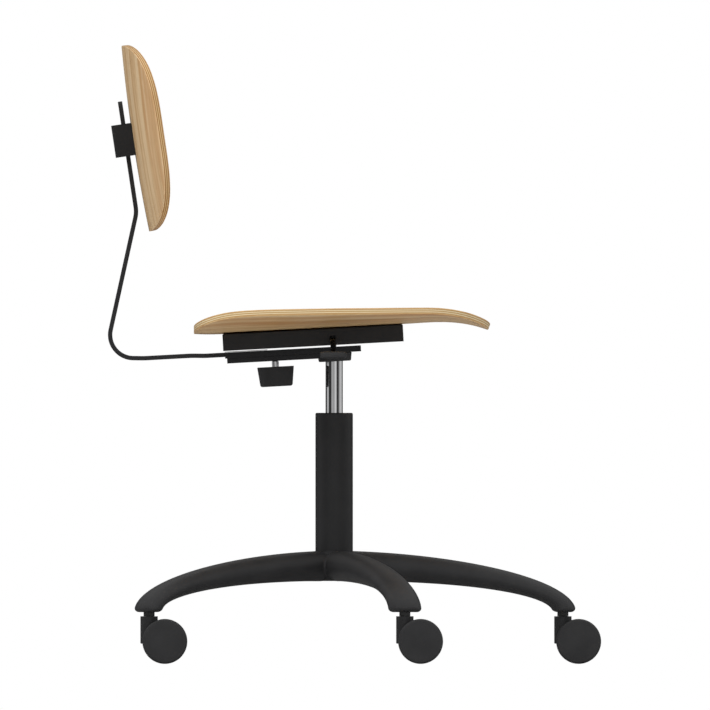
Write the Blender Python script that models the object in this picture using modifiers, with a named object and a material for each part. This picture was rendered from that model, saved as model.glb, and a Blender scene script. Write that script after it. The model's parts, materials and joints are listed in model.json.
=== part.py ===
"""Swivel chair: a moulded five-arm base on twin-wheel casters, a gas lift, a pressed steel seat
carrier with a sprung steel back bar, and two moulded plywood shells.

The origin is on the floor below the middle of the chair. X points forward, Z up. Lengths are in metres.
"""

import math

import bmesh
import bpy
import numpy as np

# Clearances
FIT_GAP = 0.0003  # between pieces that touch, press together or run on each other
CUT_PAST = 0.004  # how far a cutter runs past the face it opens

# Casters
WHEEL_RADIUS = 0.030
WHEEL_WIDTH = 0.014
WHEEL_ROUND = 0.004
WHEEL_EDGE_IN = 0.001  # middle of the rounded edge, inside the rim
WHEEL_EDGE_DROP = 0.002  # and below the outer face
WHEEL_DISH = 0.0007  # fall of the outer face from its middle to the rounded edge
WHEEL_SKIN = 0.004  # closed outer face over the axle's end
CASTER_TRAIL = 0.021  # axle in front of the stem
BARREL_RADIUS = 0.0116
BARREL_RISE = 0.0336  # barrel top above the axle
BARREL_DROP = 0.003  # barrel bottom below the axle
BARREL_FLOOR = 0.006  # below the stem's bore
AXLE_RADIUS = 0.004
AXLE_BOSS_RADIUS = 0.0085
AXLE_ARM_WIDTH = 0.019
AXLE_ARM_RISE = 0.014  # the arm's top above the axle, where it leaves the barrel
COLLAR_RADIUS = 0.0074
COLLAR_HEIGHT = 0.0054
STEM_RADIUS = 0.0055
STEM_GRIP = 0.016  # length held in the arm
STEM_TIP_RADIUS = 0.0044
STEM_TIP_LENGTH = 0.0016

# Star base
ARM_COUNT = 5
ARM_WIDTH = 0.0503
ARM_RISE = 0.082  # hub top above the feet
ARM_UNDER_RISE = 0.0416  # hub underside of the arms above the feet
ARM_WALL = 0.004
ARM_SHOULDER = 2.55  # superellipse power of the arm's section
ARM_TOP_POWER = 1.78  # superellipse power of the top line, seen from the side
ARM_UNDER_POWER = 2.27
ARM_SECTION_ANGLES = (0, 2, 6, 12, 20, 40, 65, 90, 115, 140, 160, 168, 174, 178, 180)
ARM_STATIONS = (83, 77, 69, 60, 51, 42, 33, 24, 15, 8, 4)  # degrees along the arm, hub to foot
STEM_CIRCLE_RADIUS = 0.305
FOOT_NOSE = 0.0176  # foot outside the stem
FOOT_HEEL = 0.0138  # foot inside the stem
FOOT_ROUND = 0.0075
FOOT_EDGE = 0.0018  # first turn of the foot's rounding
UNDER_PINCH = 0.0172  # each lower edge drawn in under the shoulders
UNDER_PINCH_POWER = 4.5
RIB_THICKNESS = 0.003
POCKET_FIRST = 79  # degrees along the arm
POCKET_LAST = 25
POCKET_CELLS = 5
POCKET_WIDTH = 0.0110
POCKET_CROWN = 0.003  # slope between a cell's walls and its crown
HUB_RADIUS = 0.043
HUB_HEIGHT = 0.0415
HUB_SHOULDER = 0.003
HUB_CROWN_INSET = 0.009  # width of the slope round the hub's top
HUB_LIP = 0.0045  # ledge under the column
HUB_LIP_WIDTH = 0.005

# Column and gas lift
TUBE_RADIUS = 0.025
TUBE_WALL = 0.002
TUBE_FLOOR = 0.004
TUBE_ROUND = 0.0025
TUBE_RISE = 0.1838  # above the hub
LIFT_SHOWN = 0.0882  # from the tube's top to the top of the bar channel
BUSH_LENGTH = 0.083
BUSH_RECESS = 0.001
CYLINDER_RADIUS = 0.0115
CYLINDER_WALL = 0.0023
CYLINDER_LENGTH = 0.229
CYLINDER_CHAMFER = 0.001
GLAND_LENGTH = 0.018
VALVE_LENGTH = 0.025
ROD_RADIUS = 0.005
ROD_NECK_RADIUS = 0.004
ROD_TAIL = 0.0026  # below the tube's floor
PISTON_LENGTH = 0.013
PISTON_RISE = 0.151  # piston underside above the rod's shoulder
RACE_RADIUS = 0.011
RACE_THICKNESS = 0.0015
BALL_RADIUS = 0.0015
BALL_PITCH_RADIUS = 0.0078
BALL_COUNT = 8
CAGE_WIDTH = 0.005
CAGE_THICKNESS = 0.0012
BUFFER_RADIUS = 0.0095
BUFFER_LENGTH = 0.012
CLIP_RADIUS = 0.0075
CLIP_THICKNESS = 0.0012
BUTTON_RADIUS = 0.003
BUTTON_SUNK = 0.016  # inside the valve

# Seat carrier, in a frame tilted about the column: u forward, y across, w up from the bar channel's top
SEAT_TILT = math.radians(3.1)
BAR_WIDTH = 0.040
BAR_THICKNESS = 0.0059
CHANNEL_REAR = -0.146
CHANNEL_FRONT = 0.0356
CHANNEL_WALL = 0.002
CHANNEL_FLOOR = 0.0019
KEEPER_LENGTH = 0.057
KEEPER_THICKNESS = 0.0008
CUP_RADIUS = 0.023
CUP_FOOT_RADIUS = 0.0215
CUP_DEPTH = 0.0112
CUP_SLEEVE_WALL = 0.003
CUP_RIM = 0.002
CUP_WEB = 0.004
CLAMP_REAR = -0.1435
CLAMP_OVERLAP = 0.0045  # how far the clamp channel reaches round the cup
CLAMP_WIDTH = 0.034
CLAMP_DEPTH = 0.0064
CLAMP_SHEET = 0.0015
BOX_REAR = -0.148
BOX_LENGTH = 0.241
BOX_WIDTH = 0.120
BOX_SHEET = 0.0015
BOX_FOLD = 0.003
BOX_LIFT = 0.0021  # daylight between the bar channel and the box
BRIDGE_LENGTH = 0.120
BRIDGE_SHEET = 0.0016
BRIDGE_FLANGE = 0.012
BRIDGE_RIB_WIDTH = 0.0072

# Seat shell
SEAT_DEPTH = 0.392
SEAT_WIDTH = 0.400
SEAT_AHEAD = 0.0101  # seat's middle in front of the column
SEAT_CORNER_POWER = 5.0
PLY_THICKNESS = 0.009
PLY_ROUND = 0.0015
SEAT_HEIGHT = 0.0248  # shell underside above the bar channel
SIDE_RISE = 0.0173  # at the middle of the seat's sides
SIDE_RISE_FRONT = 0.0073  # what is left of the rise towards the front edge
SIDE_RISE_REAR = 0.025
REAR_END_FALL = 0.54  # share of the rise that is lost at the seat's rear end
SIDE_END_POWER = 10
FRONT_ROLL_START = 0.120
FRONT_ROLL_DROP = 0.0157
FRONT_ROLL_POWER = 2.5
FRONT_BOW_RADIUS = 11.4  # slight upward bow in front of the column
REAR_ROLL_RISE = 0.0022
SHELL_CELLS = 14

# Height lever
LEVER_ROD_RADIUS = 0.0033
LEVER_U = -0.0014
LEVER_HEIGHT = 0.0079  # rod axis where it leaves the box
LEVER_CRANK = 0.0066  # the inner end's rise
LEVER_CRANK_RUN = 0.012
LEVER_INNER_Y = 0.003
FULCRUM_INSET = 0.010  # fulcrum inside the box's side
LEVER_OUT = 0.058  # the down-leg outside the box's side
LEVER_DROP = 0.0190
LEVER_BEND = 0.0085
LEVER_IN_PADDLE = 0.024
PADDLE_GAP = 0.010  # between the down-leg's axis and the paddle
PADDLE_LENGTH = 0.068
PADDLE_WIDTH = 0.0356
PADDLE_NECK_WIDTH = 0.026
PADDLE_NECK_LENGTH = 0.0227
PADDLE_TIP_WIDTH = 0.0285
PADDLE_TIP_LENGTH = 0.0068
PADDLE_THICKNESS = 0.0094
PADDLE_ROUND = 0.002
LEVER_SLOT_RISE = 0.003
BRACKET_LENGTH = 0.007
BRACKET_SHEET = 0.002
PIN_RADIUS = 0.0013

# Back depth clamp
KNOB_BEHIND = 0.0795  # knob axis behind the column
KNOB_RADIUS = 0.0245
KNOB_FOOT_RADIUS = 0.0214
KNOB_HEIGHT = 0.0264
KNOB_ROUND = 0.003
SCREW_SHOWN = 0.0076  # between the clamp channel and the knob
SCREW_RADIUS = 0.004
SHANK_RADIUS = 0.0046
SCREW_IN_KNOB = 0.016
SCREW_PITCH = 0.00125
PAD_RADIUS = 0.008
PAD_THICKNESS = 0.0022
NUT_WIDTH = 0.018

# Back bar, seen from the side
BAR_INNER_END = 0.031  # in front of the column
BAR_REACH = 0.3061  # corner behind the column
BAR_FORK_WIDTH = 0.014
BAR_FORK_LENGTH = 0.064
BAR_JOGGLE = 0.0012  # rise of the bar behind its channel
BAR_JOGGLE_START = 0.172  # behind the column
BAR_JOGGLE_END = 0.190
BAR_JOGGLE_BEND = 0.15
BAR_EASE_START = 0.2535  # where the bar begins to ease up to its corner
BAR_FOOT_LIFT = 0.0049  # the corner above the channel's line
BAR_FOOT_BEND = 0.031
BAR_LUMBAR_BEND = 0.072
BAR_LOWER_LEAN = math.radians(12.4)
BAR_LOWER_LENGTH = 0.1982
BAR_UPPER_LEAN = math.radians(8.5)
BAR_UPPER_LENGTH = 0.1496
BAR_TOP_CORNER = 0.008
BEND_STEPS = 8

# Backrest
BACK_ALONG_BAR = 0.0976  # block's middle above the bar's upper bend
BACK_HEIGHT = 0.2506
BACK_WIDTH = 0.370
BACK_CORNER_POWER = 3.2
BACK_FROM_BAR = 0.0095  # shell's rear surface in front of the bar's middle
BACK_WING = 0.0344  # forward curve of the sides
BACK_SPINE_RADIUS = 2.25
BLOCK_HEIGHT = 0.0434
BLOCK_WIDTH = 0.070
BLOCK_BEHIND = 0.0165  # rear face behind the bar's middle
BLOCK_CORNER = 0.004
FRICTION_PAD_WIDTH = 0.024
FRICTION_PAD_HEIGHT = 0.032
FRICTION_PAD_THICKNESS = 0.003
SPRING_BOW = 0.005
SPRING_SHEET = 0.0008
SPRING_WIDTH = 0.0192
SPRING_STEPS = 8

# Facets round a full turn, and the angle above which an edge is shaded sharp
LARGE_FACETS = 32
WHEEL_FACETS = 24
SMALL_FACETS = 16
PIN_FACETS = 12
SHARP_ANGLE = math.radians(35)

# Heights above the floor
AXLE_Z = WHEEL_RADIUS
BARREL_TOP = AXLE_Z + BARREL_RISE
FOOT_Z = BARREL_TOP + COLLAR_HEIGHT
HUB_TOP = FOOT_Z + ARM_RISE
HUB_BOTTOM = HUB_TOP - HUB_HEIGHT
TUBE_BOTTOM = HUB_BOTTOM + HUB_LIP + FIT_GAP
TUBE_TOP = HUB_TOP + TUBE_RISE
CARRIER_Z = TUBE_TOP + LIFT_SHOWN

# Levels in the seat carrier's frame
CHANNEL_DEPTH = CHANNEL_FLOOR + FIT_GAP + BAR_THICKNESS
CHANNEL_WIDTH = BAR_WIDTH + 2 * (FIT_GAP + CHANNEL_WALL)
CLAMP_TOP = -CHANNEL_DEPTH - FIT_GAP
CLAMP_BOTTOM = CLAMP_TOP - CLAMP_DEPTH
BOX_SIDE = BOX_WIDTH / 2
BRIDGE_TOP = BOX_LIFT + BRIDGE_SHEET
FULCRUM_Y = FULCRUM_INSET - BOX_SIDE
LEVER_DOWN_Y = -BOX_SIDE - LEVER_OUT
PADDLE_Y = LEVER_DOWN_Y - PADDLE_GAP
PADDLE_W = LEVER_HEIGHT - LEVER_DROP

FINISHES = {  # linear colour, roughness, metallic
    "plywood": ((0.50, 0.35, 0.20), 0.45, 0.0),
    "black_nylon": ((0.042, 0.042, 0.043), 0.55, 0.0),
    "black_steel": ((0.018, 0.018, 0.018), 0.5, 0.0),
    "chrome": ((0.62, 0.62, 0.63), 0.12, 1.0),
    "bright_steel": ((0.42, 0.42, 0.43), 0.3, 1.0),
    "black_plastic": ((0.022, 0.022, 0.022), 0.5, 0.0),
    "grey_plastic": ((0.032, 0.032, 0.033), 0.5, 0.0),
    "bush_plastic": ((0.03, 0.03, 0.03), 0.6, 0.0),
    "rubber": ((0.012, 0.012, 0.012), 0.8, 0.0),
    "brass": ((0.55, 0.38, 0.14), 0.35, 1.0),
}


def clear_scene():
    for obj in list(bpy.data.objects):
        bpy.data.objects.remove(obj, do_unlink=True)


def new_collection(name):
    collection = bpy.data.collections.new(name)
    bpy.context.scene.collection.children.link(collection)
    return collection


def new_materials():
    made = {}
    for name, (colour, roughness, metallic) in FINISHES.items():
        material = bpy.data.materials.new(name)
        material.use_nodes = True
        shader = material.node_tree.nodes["Principled BSDF"]
        shader.inputs["Base Color"].default_value = (*colour, 1.0)
        shader.inputs["Roughness"].default_value = roughness
        shader.inputs["Metallic"].default_value = metallic
        made[name] = material
    return made


clear_scene()
PARTS = new_collection("swivel_chair")
CUTTERS = new_collection("cutters")
MATERIALS = new_materials()


def frame(name, parent=None, place=(0, 0, 0), turn=(0, 0, 0)):
    """An empty that carries pieces, on their joint's axis where they move."""
    empty = bpy.data.objects.new(name, None)
    empty.empty_display_size = 0.02
    empty.parent = parent
    empty.location = place
    empty.rotation_euler = turn
    PARTS.objects.link(empty)
    return empty


def add(name, mesh, parent, finish=None, place=(0, 0, 0), turn=(0, 0, 0)):
    """A part with its finish or, with no finish, a helper that only cuts or joins."""
    obj = bpy.data.objects.new(name, mesh)
    obj.parent = parent
    obj.location = place
    obj.rotation_euler = turn
    if finish:
        mesh.materials.append(MATERIALS[finish])
        PARTS.objects.link(obj)
    else:
        obj.hide_render = True
        obj.display_type = "WIRE"
        CUTTERS.objects.link(obj)
    return obj


def boolean(target, tool, operation="DIFFERENCE"):
    modifier = target.modifiers.new(tool.name, "BOOLEAN")
    modifier.operation = operation
    modifier.solver = "EXACT"
    modifier.object = tool


def mesh_of(name, shape):
    """A mesh from a bmesh, with its doubles merged and its faces pointing out."""
    bmesh.ops.remove_doubles(shape, verts=shape.verts, dist=1e-6)
    bmesh.ops.recalc_face_normals(shape, faces=shape.faces)
    mesh = bpy.data.meshes.new(name)
    shape.to_mesh(mesh)
    shape.free()
    return mesh


def turned(name, profile, parent, finish=None, facets=LARGE_FACETS, ring=False, **placing):
    """A turned piece: (radius, height) points down the outer side. A ring's profile closes on itself."""
    mesh = bpy.data.meshes.new(name)
    points = [(radius, 0, height) for radius, height in profile]
    edges = [(i, i + 1) for i in range(len(points) - 1)]
    if ring:
        edges.append((len(points) - 1, 0))
    mesh.from_pydata(points, edges, [])
    obj = add(name, mesh, parent, finish, **placing)
    screw = obj.modifiers.new("turn", "SCREW")
    screw.steps = screw.render_steps = facets
    screw.use_merge_vertices = True
    screw.merge_threshold = 1e-6
    return obj


def washer(name, inner, outer, bottom, thickness, parent, finish, facets=SMALL_FACETS):
    top = bottom + thickness
    profile = [(inner, top), (outer, top), (outer, bottom), (inner, bottom)]
    return turned(name, profile, parent, finish, facets, ring=True)


def rod_profile(radius, top, bottom):
    return [(0, top), (radius, top), (radius, bottom), (0, bottom)]


def drill(target, name, radius, top, bottom, parent, facets=PIN_FACETS, **placing):
    """A round hole along the parent frame's Z axis, or along where placing turns it."""
    boolean(target, turned(name, rod_profile(radius, top, bottom), parent, None, facets, **placing))


def slab(name, outline, half_thickness, parent, finish=None, **placing):
    """A flat outline given thickness. It lies in the frame's XY plane until placing turns it."""
    shape = bmesh.new()
    face = shape.faces.new([shape.verts.new((x, y, -half_thickness)) for x, y in outline])
    raised = bmesh.ops.extrude_face_region(shape, geom=[face], use_keep_orig=True)["geom"]
    for item in raised:
        if isinstance(item, bmesh.types.BMVert):
            item.co.z = half_thickness
    return add(name, mesh_of(name, shape), parent, finish, **placing)


def solid_from_curve(name, curve):
    """The closed mesh of a filled or bevelled curve, with its caps welded on."""
    helper = bpy.data.objects.new(name, curve)
    PARTS.objects.link(helper)
    graph = bpy.context.evaluated_depsgraph_get()
    shape = bmesh.new()
    shape.from_mesh(bpy.data.meshes.new_from_object(helper.evaluated_get(graph)))
    bpy.data.objects.remove(helper, do_unlink=True)
    bpy.data.curves.remove(curve)
    return mesh_of(name, shape)


def block(name, low, high, parent, finish=None):
    """A box between two corners of its parent's frame."""
    shape = bmesh.new()
    bmesh.ops.create_cube(shape, size=1)
    low, high = np.array(low), np.array(high)
    for vertex in shape.verts:
        vertex.co = low + (np.array(vertex.co) + 0.5) * (high - low)
    return add(name, mesh_of(name, shape), parent, finish)


def loft(shape, rings):
    """Adds a closed skin through rings of equally many points, with flat ends, to a bmesh."""
    rows = [[shape.verts.new(point) for point in ring] for ring in rings]
    for near, far in zip(rows, rows[1:]):
        for i in range(len(near)):
            j = (i + 1) % len(near)
            shape.faces.new((near[i], near[j], far[j], far[i]))
    shape.faces.new(rows[0])
    shape.faces.new(rows[-1])
    bent = [face for face in shape.faces if len(face.verts) == 4]
    bmesh.ops.triangulate(shape, faces=bent)


def bevel(obj, width, segments=2, angle=50):
    modifier = obj.modifiers.new("round", "BEVEL")
    modifier.width = width
    modifier.segments = segments
    modifier.limit_method = "ANGLE"
    modifier.angle_limit = math.radians(angle)


def arc(centre, radius, first, last, steps):
    """Points on a circle between two angles in degrees."""
    angles = np.radians(np.linspace(first, last, steps + 1))
    return [(centre[0] + radius * math.cos(a), centre[1] + radius * math.sin(a)) for a in angles]


def bent_path(corners, radii, steps):
    """Points and left-hand normals along a flat path whose inner corners are rounded."""
    corners = [np.array(corner, float) for corner in corners]
    runs = [(b - a) / np.linalg.norm(b - a) for a, b in zip(corners, corners[1:])]
    lefts = [np.array((-run[1], run[0])) for run in runs]
    points, normals = [corners[0]], [lefts[0]]
    for corner, radius, run, left, ahead in zip(corners[1:], radii, runs, lefts, runs[1:]):
        turn = math.atan2(left @ ahead, run @ ahead)
        side = math.copysign(1, turn)
        centre = corner - run * radius * math.tan(abs(turn) / 2) + left * side * radius
        for share in np.linspace(0, 1, steps + 1):
            normal = left * math.cos(turn * share) - run * math.sin(turn * share)
            points.append(centre - normal * side * radius)
            normals.append(normal)
    points.append(corners[-1])
    normals.append(lefts[-1])
    return np.array(points), np.array(normals)


def bar_centre(behind, lift=0.0):
    """The point of the bar's lower centre line this far behind the column, lifted off the channel's floor."""
    height = (lift - BAR_THICKNESS / 2) / math.cos(SEAT_TILT)
    return (-behind, CARRIER_Z + height - behind * math.tan(SEAT_TILT))


def bar_outline():
    """The back bar's side outline, forward and up, round its bent centre line."""
    corners = [bar_centre(-BAR_INNER_END), bar_centre(BAR_JOGGLE_START)]
    corners += [bar_centre(BAR_JOGGLE_END, BAR_JOGGLE), bar_centre(BAR_EASE_START, BAR_JOGGLE)]
    corners += [bar_centre(BAR_REACH, BAR_FOOT_LIFT), lumbar_corner(), along_upper_bar(BAR_UPPER_LENGTH)]
    bends = (BAR_JOGGLE_BEND, BAR_JOGGLE_BEND, BAR_JOGGLE_BEND, BAR_FOOT_BEND, BAR_LUMBAR_BEND)
    points, normals = bent_path(corners, bends, BEND_STEPS)
    half = BAR_THICKNESS / 2
    return np.concatenate([points + normals * half, (points - normals * half)[::-1]])


def lumbar_corner():
    foot_x, foot_z = bar_centre(BAR_REACH, BAR_FOOT_LIFT)
    forward = BAR_LOWER_LENGTH * math.sin(BAR_LOWER_LEAN)
    return (foot_x + forward, foot_z + BAR_LOWER_LENGTH * math.cos(BAR_LOWER_LEAN))


def along_upper_bar(distance):
    """The point of the bar's centre line this far above its upper bend."""
    x, z = lumbar_corner()
    return (x - distance * math.sin(BAR_UPPER_LEAN), z + distance * math.cos(BAR_UPPER_LEAN))


def seat_underside(u, y):
    """Height of the seat shell's underside: a dished sheet that rolls down at the front."""
    along = (u - SEAT_AHEAD) / (SEAT_DEPTH / 2)
    end_rise = SIDE_RISE_FRONT if along > 0 else SIDE_RISE_REAR
    lost = REAR_END_FALL * min(0, along) ** SIDE_END_POWER
    side = (SIDE_RISE + (end_rise - SIDE_RISE) * abs(along)) * (1 - lost)
    front_edge = SEAT_AHEAD + SEAT_DEPTH / 2
    front = max(0, (u - FRONT_ROLL_START) / (front_edge - FRONT_ROLL_START))
    rear_edge = SEAT_AHEAD - SEAT_DEPTH / 2
    rear = max(0, (BOX_REAR - u) / (BOX_REAR - rear_edge))
    dish = side * (2 * y / SEAT_WIDTH) ** 2
    bow = max(0, u) ** 2 / (2 * FRONT_BOW_RADIUS)
    return SEAT_HEIGHT + dish + bow - FRONT_ROLL_DROP * front**FRONT_ROLL_POWER + REAR_ROLL_RISE * rear**2


def back_rear_face(y, v):
    """How far the back shell's rear face lies in front of the bar's middle."""
    return BACK_FROM_BAR + BACK_WING * (2 * y / BACK_WIDTH) ** 2 + v**2 / (2 * BACK_SPINE_RADIUS)


def ply_shell(name, half_long, half_wide, power, place_point, parent):
    """A moulded plywood sheet with a superellipse outline, thickened to the side it is sat on."""
    shape = bmesh.new()
    bmesh.ops.create_grid(shape, x_segments=SHELL_CELLS, y_segments=SHELL_CELLS, size=1)
    for vertex in shape.verts:
        a, b = vertex.co.x, vertex.co.y
        norm = (abs(a) ** power + abs(b) ** power) ** (1 / power)
        reach = max(abs(a), abs(b)) / norm if norm else 0
        vertex.co = place_point(a * reach * half_long, b * reach * half_wide)
    mesh = bpy.data.meshes.new(name)
    shape.to_mesh(mesh)
    shape.free()
    obj = add(name, mesh, parent, "plywood")
    thicken = obj.modifiers.new("ply", "SOLIDIFY")
    thicken.thickness = PLY_THICKNESS
    thicken.offset = 1
    bevel(obj, PLY_ROUND, segments=1)
    return obj


def build_caster(number, root):
    """One caster: a stem fixed in the arm, a barrel that swivels on it, an axle and two wheels."""
    label = number + 1
    angle = math.tau * number / ARM_COUNT
    stem_x = STEM_CIRCLE_RADIUS * math.cos(angle)
    stem_y = STEM_CIRCLE_RADIUS * math.sin(angle)
    swivel = frame(f"caster_{label}_swivel_axis", root, (stem_x, stem_y, 0))
    axle = frame(f"caster_{label}_axle_axis", swivel, (CASTER_TRAIL, 0, AXLE_Z))
    stem_top = FOOT_Z + STEM_GRIP
    bore_floor = AXLE_Z - BARREL_DROP + BARREL_FLOOR
    stem = [(0, stem_top), (STEM_TIP_RADIUS, stem_top), (STEM_RADIUS, stem_top - STEM_TIP_LENGTH)]
    stem += [(STEM_RADIUS, FOOT_Z - FIT_GAP), (COLLAR_RADIUS, FOOT_Z - FIT_GAP)]
    stem += [(COLLAR_RADIUS, BARREL_TOP + FIT_GAP), (STEM_RADIUS, BARREL_TOP + FIT_GAP)]
    stem += [(STEM_RADIUS, bore_floor + FIT_GAP), (0, bore_floor + FIT_GAP)]
    turned(f"caster_stem_{label}", stem, swivel, "black_steel", PIN_FACETS)
    bore = STEM_RADIUS + FIT_GAP
    barrel = [(0, bore_floor), (bore, bore_floor), (bore, BARREL_TOP), (BARREL_RADIUS, BARREL_TOP)]
    barrel += [(BARREL_RADIUS, AXLE_Z - BARREL_DROP), (0, AXLE_Z - BARREL_DROP)]
    body = turned(f"caster_body_{label}", barrel, swivel, "black_nylon", SMALL_FACETS)
    centre = (CASTER_TRAIL, AXLE_Z)
    reach = BARREL_RADIUS - FIT_GAP
    inner = math.sqrt(reach**2 - (AXLE_ARM_WIDTH / 2) ** 2)
    arm = [(bore + inner, AXLE_Z + AXLE_ARM_RISE), (bore, AXLE_Z + AXLE_ARM_RISE)]
    arm += [(bore, AXLE_Z - BARREL_DROP / 2), (bore + inner, AXLE_Z - AXLE_BOSS_RADIUS / 2)]
    arm += arc(centre, AXLE_BOSS_RADIUS, -90, 90, 6)
    upright = (math.pi / 2, 0, 0)
    boolean(body, slab(f"axle_arm_{label}", arm, AXLE_ARM_WIDTH / 2, swivel, turn=upright), "UNION")
    hole = rod_profile(AXLE_RADIUS + FIT_GAP, BARREL_RADIUS, -BARREL_RADIUS)
    boolean(body, turned(f"axle_hole_{label}", hole, axle, None, PIN_FACETS, turn=upright))
    wheel_inner = BARREL_RADIUS + FIT_GAP * 2
    axle_end = wheel_inner + WHEEL_WIDTH - WHEEL_SKIN - FIT_GAP
    axle_bar = rod_profile(AXLE_RADIUS, axle_end, -axle_end)
    turned(f"caster_axle_{label}", axle_bar, axle, "bright_steel", PIN_FACETS, turn=upright)
    flat = 1 / math.cos(math.pi / WHEEL_FACETS)  # a facet, not a corner, stands on the floor
    rim = WHEEL_RADIUS * flat
    hub = AXLE_RADIUS + FIT_GAP
    depth = WHEEL_WIDTH - WHEEL_SKIN
    wheel = [(0, WHEEL_WIDTH), (rim - WHEEL_ROUND, WHEEL_WIDTH - WHEEL_DISH)]
    wheel += [(rim - WHEEL_EDGE_IN, WHEEL_WIDTH - WHEEL_EDGE_DROP), (rim, WHEEL_WIDTH - WHEEL_ROUND)]
    wheel += [(rim, 0), (hub, 0), (hub, depth), (0, depth)]
    facet_turn = math.pi / WHEEL_FACETS
    for side, name, about in ((-1, "right", math.pi / 2), (1, "left", -math.pi / 2)):
        hub_frame = frame(f"wheel_{label}_{name}_axis", axle, (0, side * wheel_inner, 0), (about, 0, 0))
        turned(
            f"wheel_{label}_{name}",
            wheel,
            hub_frame,
            "black_nylon",
            WHEEL_FACETS,
            turn=(0, 0, facet_turn),
        )


def arm_point(phi, share, y):
    """A point of an arm's section at the angle phi, from its underside (share 0) to its top (share 1)."""
    top_r = (STEM_CIRCLE_RADIUS + FOOT_NOSE) * math.cos(phi) ** (2 / ARM_TOP_POWER)
    under_r = (STEM_CIRCLE_RADIUS - FOOT_HEEL) * math.cos(phi) ** (2 / ARM_UNDER_POWER)
    top_z = ARM_RISE * math.sin(phi)
    under_z = ARM_UNDER_RISE * math.sin(phi)
    return (under_r + (top_r - under_r) * share, y, FOOT_Z + under_z + (top_z - under_z) * share)


def arm_depth(phi):
    low, high = arm_point(phi, 0, 0), arm_point(phi, 1, 0)
    return math.dist(low, high)


def arm_section(inset=0.0):
    """(share, y) round half a superellipse drawn in all round by inset, its lower edges pinched together."""
    half_width = ARM_WIDTH / 2
    length = FOOT_NOSE + FOOT_HEEL
    section = []
    for degrees in ARM_SECTION_ANGLES:
        cosine, sine = math.cos(math.radians(degrees)), math.sin(math.radians(degrees))
        across = math.copysign(abs(cosine) ** (2 / ARM_SHOULDER), cosine)
        share = abs(sine) ** (2 / ARM_SHOULDER)
        drawn = 0.5 + (share - 0.5) * (1 - 2 * inset / length)
        pinch = UNDER_PINCH / half_width * (1 - share) ** UNDER_PINCH_POWER
        section.append((drawn, (half_width - inset) * (1 - pinch) * across))
    return section


def arm_rings():
    """Rings of an arm that points forward, from inside the hub to the rounded foot."""
    rings = []
    for degrees in ARM_STATIONS:
        rings.append([arm_point(math.radians(degrees), share, y) for share, y in arm_section()])
    for inset, lift in ((FOOT_EDGE, FOOT_EDGE), (FOOT_ROUND, 0.0)):
        foot = [arm_point(0.0, share, y) for share, y in arm_section(inset)]
        rings.append([(r, y, z + lift) for r, y, z in foot])
    return rings


def pocket_rings(first, last):
    """Rings of one open cell under an arm, between two cross ribs."""
    wide = POCKET_WIDTH / 2
    narrow = wide - POCKET_CROWN
    rings = []
    for phi in np.linspace(first, last, 3):
        depth = arm_depth(phi)
        below = -2 * CUT_PAST / depth
        crown = 1 - ARM_WALL / depth
        shoulder = crown - POCKET_CROWN / depth
        section = [(below, -wide), (below, wide), (shoulder, wide)]
        section += [(crown, narrow), (crown, -narrow), (shoulder, -wide)]
        rings.append([arm_point(phi, share, y) for share, y in section])
    return rings


def turned_points(rings, angle):
    cosine, sine = math.cos(angle), math.sin(angle)
    return [[(x * cosine - y * sine, x * sine + y * cosine, z) for x, y, z in ring] for ring in rings]


def build_star_base(root):
    """The moulded base: a hub, five arched arms, ribbed cells underneath and a socket in each foot."""
    ledge = TUBE_RADIUS - HUB_LIP_WIDTH
    bore = TUBE_RADIUS + FIT_GAP
    ledge_z = HUB_BOTTOM + HUB_LIP
    hub = [(bore, HUB_TOP), (HUB_RADIUS - HUB_CROWN_INSET, HUB_TOP)]
    hub += [(HUB_RADIUS, HUB_TOP - HUB_SHOULDER), (HUB_RADIUS, HUB_BOTTOM)]
    hub += [(ledge, HUB_BOTTOM), (ledge, ledge_z), (bore, ledge_z)]
    base = turned("star_base", hub, root, "black_nylon", ring=True)
    cells = bmesh.new()
    sockets = bmesh.new()
    first, last = math.radians(POCKET_FIRST), math.radians(POCKET_LAST)
    edges = np.linspace(first, last, POCKET_CELLS + 1)
    for number in range(ARM_COUNT):
        angle = math.tau * number / ARM_COUNT
        shape = bmesh.new()
        loft(shape, arm_rings())
        boolean(base, add(f"arm_{number}", mesh_of("arm", shape), root, turn=(0, 0, angle)), "UNION")
        for start, end in zip(edges, edges[1:]):
            rib = RIB_THICKNESS / (2 * STEM_CIRCLE_RADIUS * math.sin(start))
            loft(cells, turned_points(pocket_rings(start - rib, end + rib), angle))
        ring = arc((STEM_CIRCLE_RADIUS, 0), STEM_RADIUS + FIT_GAP, 0, 360, PIN_FACETS)[:-1]
        levels = (FOOT_Z - CUT_PAST, FOOT_Z + STEM_GRIP + FIT_GAP)
        loft(sockets, turned_points([[(x, y, z) for x, y in ring] for z in levels], angle))
    boolean(base, add("arm_cells", mesh_of("arm_cells", cells), root))
    boolean(base, add("stem_sockets", mesh_of("stem_sockets", sockets), root))


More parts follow.
